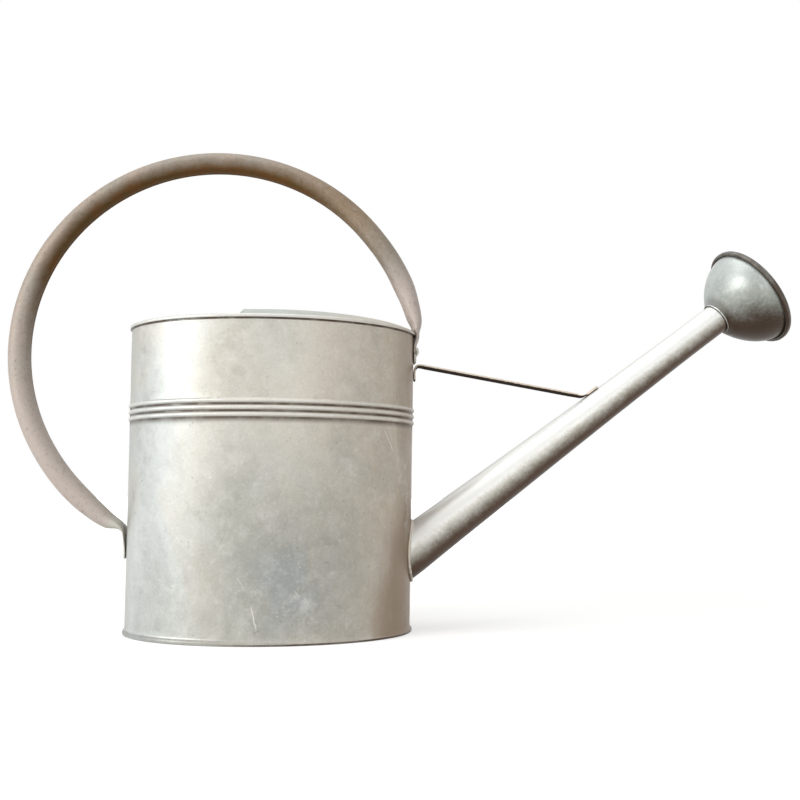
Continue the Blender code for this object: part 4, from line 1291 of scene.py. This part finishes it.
def hood_finish(tones):
    """Even grey zinc, taupe towards the spout end and darker where it meets the rim."""
    finish = Finish("zinc_hood", 0.15)
    colour = finish.over(tones.hood_zinc, tones.zinc_taupe, finish.axis(finish.place, "X"), 0.02, 0.12)
    colour, crystals, fine = zinc_layers(finish, tones, colour, tones.spangle)
    colour = paint_light_shade_and_grime(finish, tones, colour, 0.6, 0.3)
    return finish.finish(colour, finish.span(crystals, 0.0, 1.0, 0.44, 0.54), fine, 0.2)


def spout_finish(tones):
    """Spout zinc with painted light: a painted highlight on top and painted shade in tan and brown
    underneath, streaked along its length.
    """
    finish = Finish("zinc_spout", 0.35, 0.25)
    height = finish.facing_up()
    # Painted light follows the facing; the shift moves the edge of the painted highlight along the spout.
    shift = finish.span(finish.axis(finish.place, "Z"), 0.04, 0.36, 0.11, 0.20, smooth=False)
    streaks = finish.noise(40, 4, place=finish.stretched((1.0, 1.0, 0.12)))
    up = finish.uneven(finish.plus(height, shift), streaks, 0.3, 0.7, 0.035)
    up = finish.uneven(up, finish.noise(260, 4, 0.75), 0.35, 0.65, 0.035)
    # Painted shade in tan on the lower flank.
    colour = finish.over(tones.spout_mid, tones.spout_shade_tan, up, 0.18, -0.14)
    colour, _, fine = zinc_layers(finish, tones, colour, 0.5)
    # Painted highlight on top, painted shade in brown and near black underneath.
    colour = finish.over(colour, tones.bloom_and_highlight, up, 0.12, 0.38)
    colour = finish.over(colour, tones.tarnish_and_shade, up, 0.0, -0.38)
    colour = finish.over(colour, tones.grime_and_shade, up, -0.37, -0.69)
    colour = finish.over(colour, tones.zinc_shade, height, 0.76, 0.81, 0.4)
    return finish.finish(colour, finish.span(fine, 0.3, 0.7, 0.30, 0.42), fine, 0.25)


def solder_finish(tones):
    """Dull bright solder, with painted shade in brown underneath."""
    finish = Finish("solder", 0.4)
    lumps = finish.noise(180, 4, 0.6)
    colour = finish.over(tones.solder, tones.zinc_taupe, lumps, 0.35, 0.7, 0.4)
    # Painted shade on faces turned down.
    colour = finish.over(colour, tones.tarnish_and_shade, finish.facing_up(), 0.0, -0.9, 0.5)
    return finish.finish(colour, finish.span(lumps, 0.3, 0.7, 0.3, 0.5), lumps, 0.5, 0.0006)


def handle_finish(tones):
    """Matte oxide with grey wear, paler towards both ends, dark rust mixed with painted shade on the inner
    face of the hoop over the can, and painted light on the lower tab.
    """
    finish = Finish("oxidised_hoop", 0.2, 0.25)
    colour = finish.over(tones.handle_taupe, tones.handle_grey, finish.noise(24, 5, 0.62), 0.36, 0.62)
    turn = finish.vertex("turn")
    brown = finish.times(finish.span(turn, 85, 50, 0.0, 0.85), finish.span(turn, 24, 52))
    colour = finish.blend(brown, colour, tones.handle_brown)
    colour = finish.over(colour, tones.handle_pale, turn, 150, 215, 0.85)
    colour = finish.over(colour, tones.handle_pale, turn, 34, 16)
    fine, grain = finish.noise(150, 6, 0.72), finish.noise(340, 4, 0.75)
    colour = finish.over(colour, tones.handle_pale, fine, 0.52, 0.74, 0.35)
    colour = finish.over(colour, tones.tarnish_and_shade, fine, 0.46, 0.28, 0.35)
    colour = finish.over(colour, tones.handle_pale, grain, 0.52, 0.70, 0.3)
    colour = finish.over(colour, tones.tarnish_and_shade, grain, 0.46, 0.30, 0.35)

    narrow = finish.plus(finish.span(turn, 142, 190, 0.0, 0.6), finish.span(turn, 75, 40, 0.0, 0.5))
    narrow = finish.plus(narrow, finish.span(turn, 195, 225, 0.0, 1.6))
    # Dark rust and dirt mixed with painted shade on the hoop's inner face.
    reach = finish.uneven(finish.vertex("inside"), finish.noise(60, 6, 0.7), 0.3, 0.7, 0.07)
    reach = finish.maths("SUBTRACT", reach, narrow)
    colour = finish.over(colour, tones.inner_rust_and_shade, reach, 0.30, 0.86, 0.95, smooth=False)
    spots = finish.span(finish.noise(85, 5, 0.7), 0.42, 0.60)
    rust = finish.times(finish.span(reach, 0.60, 0.85, 0.0, 0.5), spots)
    colour = finish.blend(rust, colour, tones.rust)
    # Painted light: the lower tab is made pale where it renders in shade.
    colour = finish.over(colour, tones.zinc_pale, turn, 237, 241, 0.8)
    return finish.finish(colour, finish.span(fine, 0.3, 0.7, 0.50, 0.66), fine, 0.35)


def rod_finish(tones):
    """Painted light on the rod: cream where it faces up and on its flattened ends, painted shade near black
    underneath.
    """
    finish = Finish("rod_lit_and_shaded", 0.3, 0.25)
    fine = finish.noise(300, 4, 0.6)
    up = finish.uneven(finish.facing_up(), fine, 0.3, 0.7, 0.08)
    # Painted light and painted shade by facing.
    colour = finish.over(tones.rod_lit_cream, tones.rod_shade_dark, up, 0.34, 0.10)
    # Painted light on the flattened ends, over the painted shade.
    ends = finish.times(finish.vertex("tab"), finish.span(up, -0.6, -0.2))
    colour = finish.blend(ends, colour, tones.rod_lit_cream)
    return finish.finish(colour, finish.span(fine, 0.3, 0.7, 0.4, 0.55), fine, 0.3)


def rivet_finish(tones):
    """Plain zinc with a fine grain."""
    finish = Finish("rivet_zinc", 0.3)
    fine = finish.noise(400, 4, 0.6)
    colour = finish.over(tones.zinc_pale, tones.zinc_taupe, fine, 0.4, 0.65)
    return finish.finish(colour, finish.span(fine, 0.3, 0.7, 0.35, 0.5), fine, 0.4)


def rose_finish(tones):
    """Rose zinc with painted light: pale blue-green on top, painted half shade in grey across the middle,
    painted shade in dark brown underneath, and a light line at the neck.
    """
    finish = Finish("zinc_rose", 0.4, 0.25)
    bands = finish.noise(30, 5, 0.65, place=finish.stretched((1.0, 1.0, 0.5)))
    up = finish.uneven(finish.facing_up(), bands, 0.3, 0.7, 0.05)
    up = finish.uneven(up, finish.noise(320, 4, 0.75), 0.35, 0.65, 0.04)
    # Painted light: paler where the rose faces up, greyer as it turns down.
    colour = finish.over(tones.rose_zinc, tones.rose_half_shade, up, 0.35, -0.3)
    colour, _, fine = zinc_layers(finish, tones, colour, 0.4)
    # Painted shade: dark brown where the rose faces down.
    colour = finish.over(colour, tones.rose_dark_shade, up, -0.24, -0.76, 0.97)
    colour = paint_light_shade_and_grime(finish, tones, colour, 0.85, 0.6)
    return finish.finish(colour, finish.span(fine, 0.3, 0.7, 0.32, 0.42), fine, 0.25)


# Operators

class CanOperator:
    """Shared by the operators, which read their sizes and colours from the scene."""
    bl_options = {"REGISTER", "UNDO"}


class CAN_OT_body(CanOperator, bpy.types.Operator):
    """Build the oval wall and the base plate"""
    bl_idname = "watering_can.body"
    bl_label = "Body"

    def execute(self, context):
        scene = context.scene
        material = wall_finish(scene.can_finishes)
        body_wall(scene.can_body, scene.can_handle, scene.can_spout, material)
        base_plate(scene.can_body, material)
        return {"FINISHED"}


class CAN_OT_hood(CanOperator, bpy.types.Operator):
    """Build the domed half cover"""
    bl_idname = "watering_can.hood"
    bl_label = "Hood"

    def execute(self, context):
        scene = context.scene
        hood_cover(scene.can_body, scene.can_hood, hood_finish(scene.can_finishes))
        return {"FINISHED"}


class CAN_OT_handle(CanOperator, bpy.types.Operator):
    """Build the hoop handle and its rivets"""
    bl_idname = "watering_can.handle"
    bl_label = "Handle"

    def execute(self, context):
        scene = context.scene
        hoop_handle(scene.can_body, scene.can_handle, handle_finish(scene.can_finishes))
        material = rivet_finish(scene.can_finishes)
        for name, side in (("handle_rivet_front", -1), ("handle_rivet_back", 1)):
            rivet(scene.can_body, scene.can_handle, name, side, material)
        return {"FINISHED"}


class CAN_OT_spout(CanOperator, bpy.types.Operator):
    """Build the spout with its solder, and the brace"""
    bl_idname = "watering_can.spout"
    bl_label = "Spout and brace"

    def execute(self, context):
        scene = context.scene
        makers = ((spout_tube, spout_finish), (spout_solder, solder_finish), (brace_rod, rod_finish))
        for make, finish in makers:
            make(scene.can_body, scene.can_spout, finish(scene.can_finishes))
        return {"FINISHED"}


class CAN_OT_rose(CanOperator, bpy.types.Operator):
    """Build the rose with its perforated face"""
    bl_idname = "watering_can.rose"
    bl_label = "Rose"

    def execute(self, context):
        scene = context.scene
        material = rose_finish(scene.can_finishes)
        for make in (rose_bowl, rose_plate):
            make(scene.can_body, scene.can_spout, scene.can_rose, material)
        return {"FINISHED"}


class CAN_OT_stage(CanOperator, bpy.types.Operator):
    """Set the floor, the lamps and the camera"""
    bl_idname = "watering_can.stage"
    bl_label = "Stage"

    def execute(self, context):
        studio_floor()
        studio_world(context.scene)
        for name, place, size, watts in LAMPS:
            area_lamp(name, place, size, watts)
        studio_camera(context.scene)
        context.scene.view_settings.view_transform = "Standard"
        return {"FINISHED"}


# The stage

# Name, place, size of the side and watts.
LAMPS = (
    ("key_left", (-1.85, -1.0, 0.85), 1.1, 24.5),
    ("top", (-0.25, -0.25, 2.0), 1.4, 12),
    ("fill_front", (0.3, -2.2, 0.7), 1.2, 5),
)
WORLD_LIGHT = 0.36
FLOOR_REACH, FLOOR_DROP = 30.0, 0.0003
CAMERA_YAW, CAMERA_PITCH, CAMERA_ROLL = 4.909, 6.167, 0.289
CAMERA_LENS = 39.628
CAMERA_PLACE = (47.38 * MM, -827.11 * MM, 123.40 * MM)


def seen_directly(tree):
    """1 for rays from the camera and for those that metal or glass turn on, 0 for soft light."""
    path = tree.nodes.new("ShaderNodeLightPath")
    total = path.outputs["Is Camera Ray"]
    for name in ("Is Glossy Ray", "Is Transmission Ray"):
        node = tree.nodes.new("ShaderNodeMath")
        node.operation = "MAXIMUM"
        tree.links.new(total, node.inputs[0])
        tree.links.new(path.outputs[name], node.inputs[1])
        total = node.outputs["Value"]
    return total


def studio_world(scene):
    """White to look at, and a softer grey as light."""
    world = bpy.data.worlds.new("studio")
    scene.world = world
    world.use_nodes = True
    tree = world.node_tree
    background = tree.nodes["Background"]
    mix = tree.nodes.new("ShaderNodeMix")
    mix.data_type = "FLOAT"
    tree.links.new(seen_directly(tree), mix.inputs["Factor"])
    mix.inputs["A"].default_value = WORLD_LIGHT
    mix.inputs["B"].default_value = 1.0
    background.inputs["Color"].default_value = (1, 1, 1, 1)
    tree.links.new(mix.outputs["Result"], background.inputs["Strength"])


def studio_floor():
    """Pale floor that keeps the can's shadow and runs into the white behind it."""
    mesh = bpy.data.meshes.new("floor")
    corners = [(x * FLOOR_REACH, y * FLOOR_REACH, 0) for x, y in ((-1, -1), (1, -1), (1, 1), (-1, 1))]
    mesh.from_pydata(corners, [], [(0, 1, 2, 3)])
    floor = bpy.data.objects.new("floor", mesh)
    floor.location = (0.0, 0.0, -FLOOR_DROP)
    bpy.context.collection.objects.link(floor)
    material = bpy.data.materials.new("pale_floor")
    material.use_nodes = True
    tree = material.node_tree
    shader = tree.nodes["Principled BSDF"]
    shader.inputs["Base Color"].default_value = (0.72, 0.72, 0.71, 1)
    shader.inputs["Roughness"].default_value = 0.9
    shader.inputs["Specular IOR Level"].default_value = 0.1
    middle = tree.nodes.new("ShaderNodeTexCoord").outputs["Object"]
    away = tree.nodes.new("ShaderNodeVectorMath")
    away.operation = "LENGTH"
    tree.links.new(middle, away.inputs[0])
    glow = tree.nodes.new("ShaderNodeMapRange")
    tree.links.new(away.outputs["Value"], glow.inputs["Value"])
    for name, number in (("From Min", 0.5), ("From Max", 1.6), ("To Min", 0.55), ("To Max", 1.0)):
        glow.inputs[name].default_value = number
    lift = tree.nodes.new("ShaderNodeMath")
    lift.operation = "MULTIPLY"
    tree.links.new(seen_directly(tree), lift.inputs[0])
    tree.links.new(glow.outputs["Result"], lift.inputs[1])
    shader.inputs["Emission Color"].default_value = (1, 1, 1, 1)
    tree.links.new(lift.outputs["Value"], shader.inputs["Emission Strength"])
    mesh.materials.append(material)


def area_lamp(name, place, size, watts):
    """A soft square lamp that looks at the can."""
    lamp = bpy.data.lights.new(name, "AREA")
    lamp.size = size
    lamp.energy = watts
    thing = bpy.data.objects.new(name, lamp)
    thing.location = place
    aim = Vector((0.0, 0.0, 0.2)) - Vector(place)
    thing.rotation_euler = aim.to_track_quat("-Z", "Y").to_euler()
    bpy.context.collection.objects.link(thing)


def studio_camera(scene):
    """The photograph's view: from below the rim, turned a little and tipped slightly up."""
    yaw, pitch, roll = (math.radians(turn) for turn in (CAMERA_YAW, CAMERA_PITCH, CAMERA_ROLL))
    ahead = Vector((math.sin(yaw) * math.cos(pitch), math.cos(yaw) * math.cos(pitch), math.sin(pitch)))
    right = Vector((math.cos(yaw), -math.sin(yaw), 0.0))
    up = right.cross(ahead)
    right, up = (right * math.cos(roll) + up * math.sin(roll), up * math.cos(roll) - right * math.sin(roll))
    camera = bpy.data.cameras.new("camera")
    camera.lens = CAMERA_LENS
    camera.sensor_width = 36.0
    thing = bpy.data.objects.new("camera", camera)
    turn = Matrix((right, up, -ahead)).transposed().to_4x4()
    thing.matrix_world = Matrix.Translation((CAN_X, 0.0, 0.0)) @ Matrix.Translation(CAMERA_PLACE) @ turn
    bpy.context.collection.objects.link(thing)
    scene.camera = thing


class CAN_PT_panel(bpy.types.Panel):
    """Lists the sizes, the colours and the builders"""
    bl_idname = "CAN_PT_panel"
    bl_label = "Watering can"
    bl_space_type = "VIEW_3D"
    bl_region_type = "UI"
    bl_category = "Watering can"

    def draw(self, context):
        for operator in OPERATORS:
            self.layout.operator(operator.bl_idname)
        for name in GROUPS:
            group = getattr(context.scene, name)
            box = self.layout.box()
            box.label(text=name.replace("_", " ").capitalize())
            for key in group.__annotations__:
                box.prop(group, key)


OPERATORS = (CAN_OT_body, CAN_OT_hood, CAN_OT_handle, CAN_OT_spout, CAN_OT_rose, CAN_OT_stage)


def register():
    for group in GROUPS.values():
        bpy.utils.register_class(group)
    for name, group in GROUPS.items():
        setattr(bpy.types.Scene, name, PointerProperty(type=group))
    for operator in OPERATORS:
        bpy.utils.register_class(operator)
    bpy.utils.register_class(CAN_PT_panel)


def unregister():
    bpy.utils.unregister_class(CAN_PT_panel)
    for operator in reversed(OPERATORS):
        bpy.utils.unregister_class(operator)
    for name, group in GROUPS.items():
        delattr(bpy.types.Scene, name)
        bpy.utils.unregister_class(group)


def main():
    register()
    bpy.ops.watering_can.body()
    bpy.ops.watering_can.hood()
    bpy.ops.watering_can.handle()
    bpy.ops.watering_can.spout()
    bpy.ops.watering_can.rose()
    bpy.ops.watering_can.stage()


if __name__ == "__main__":
    main()
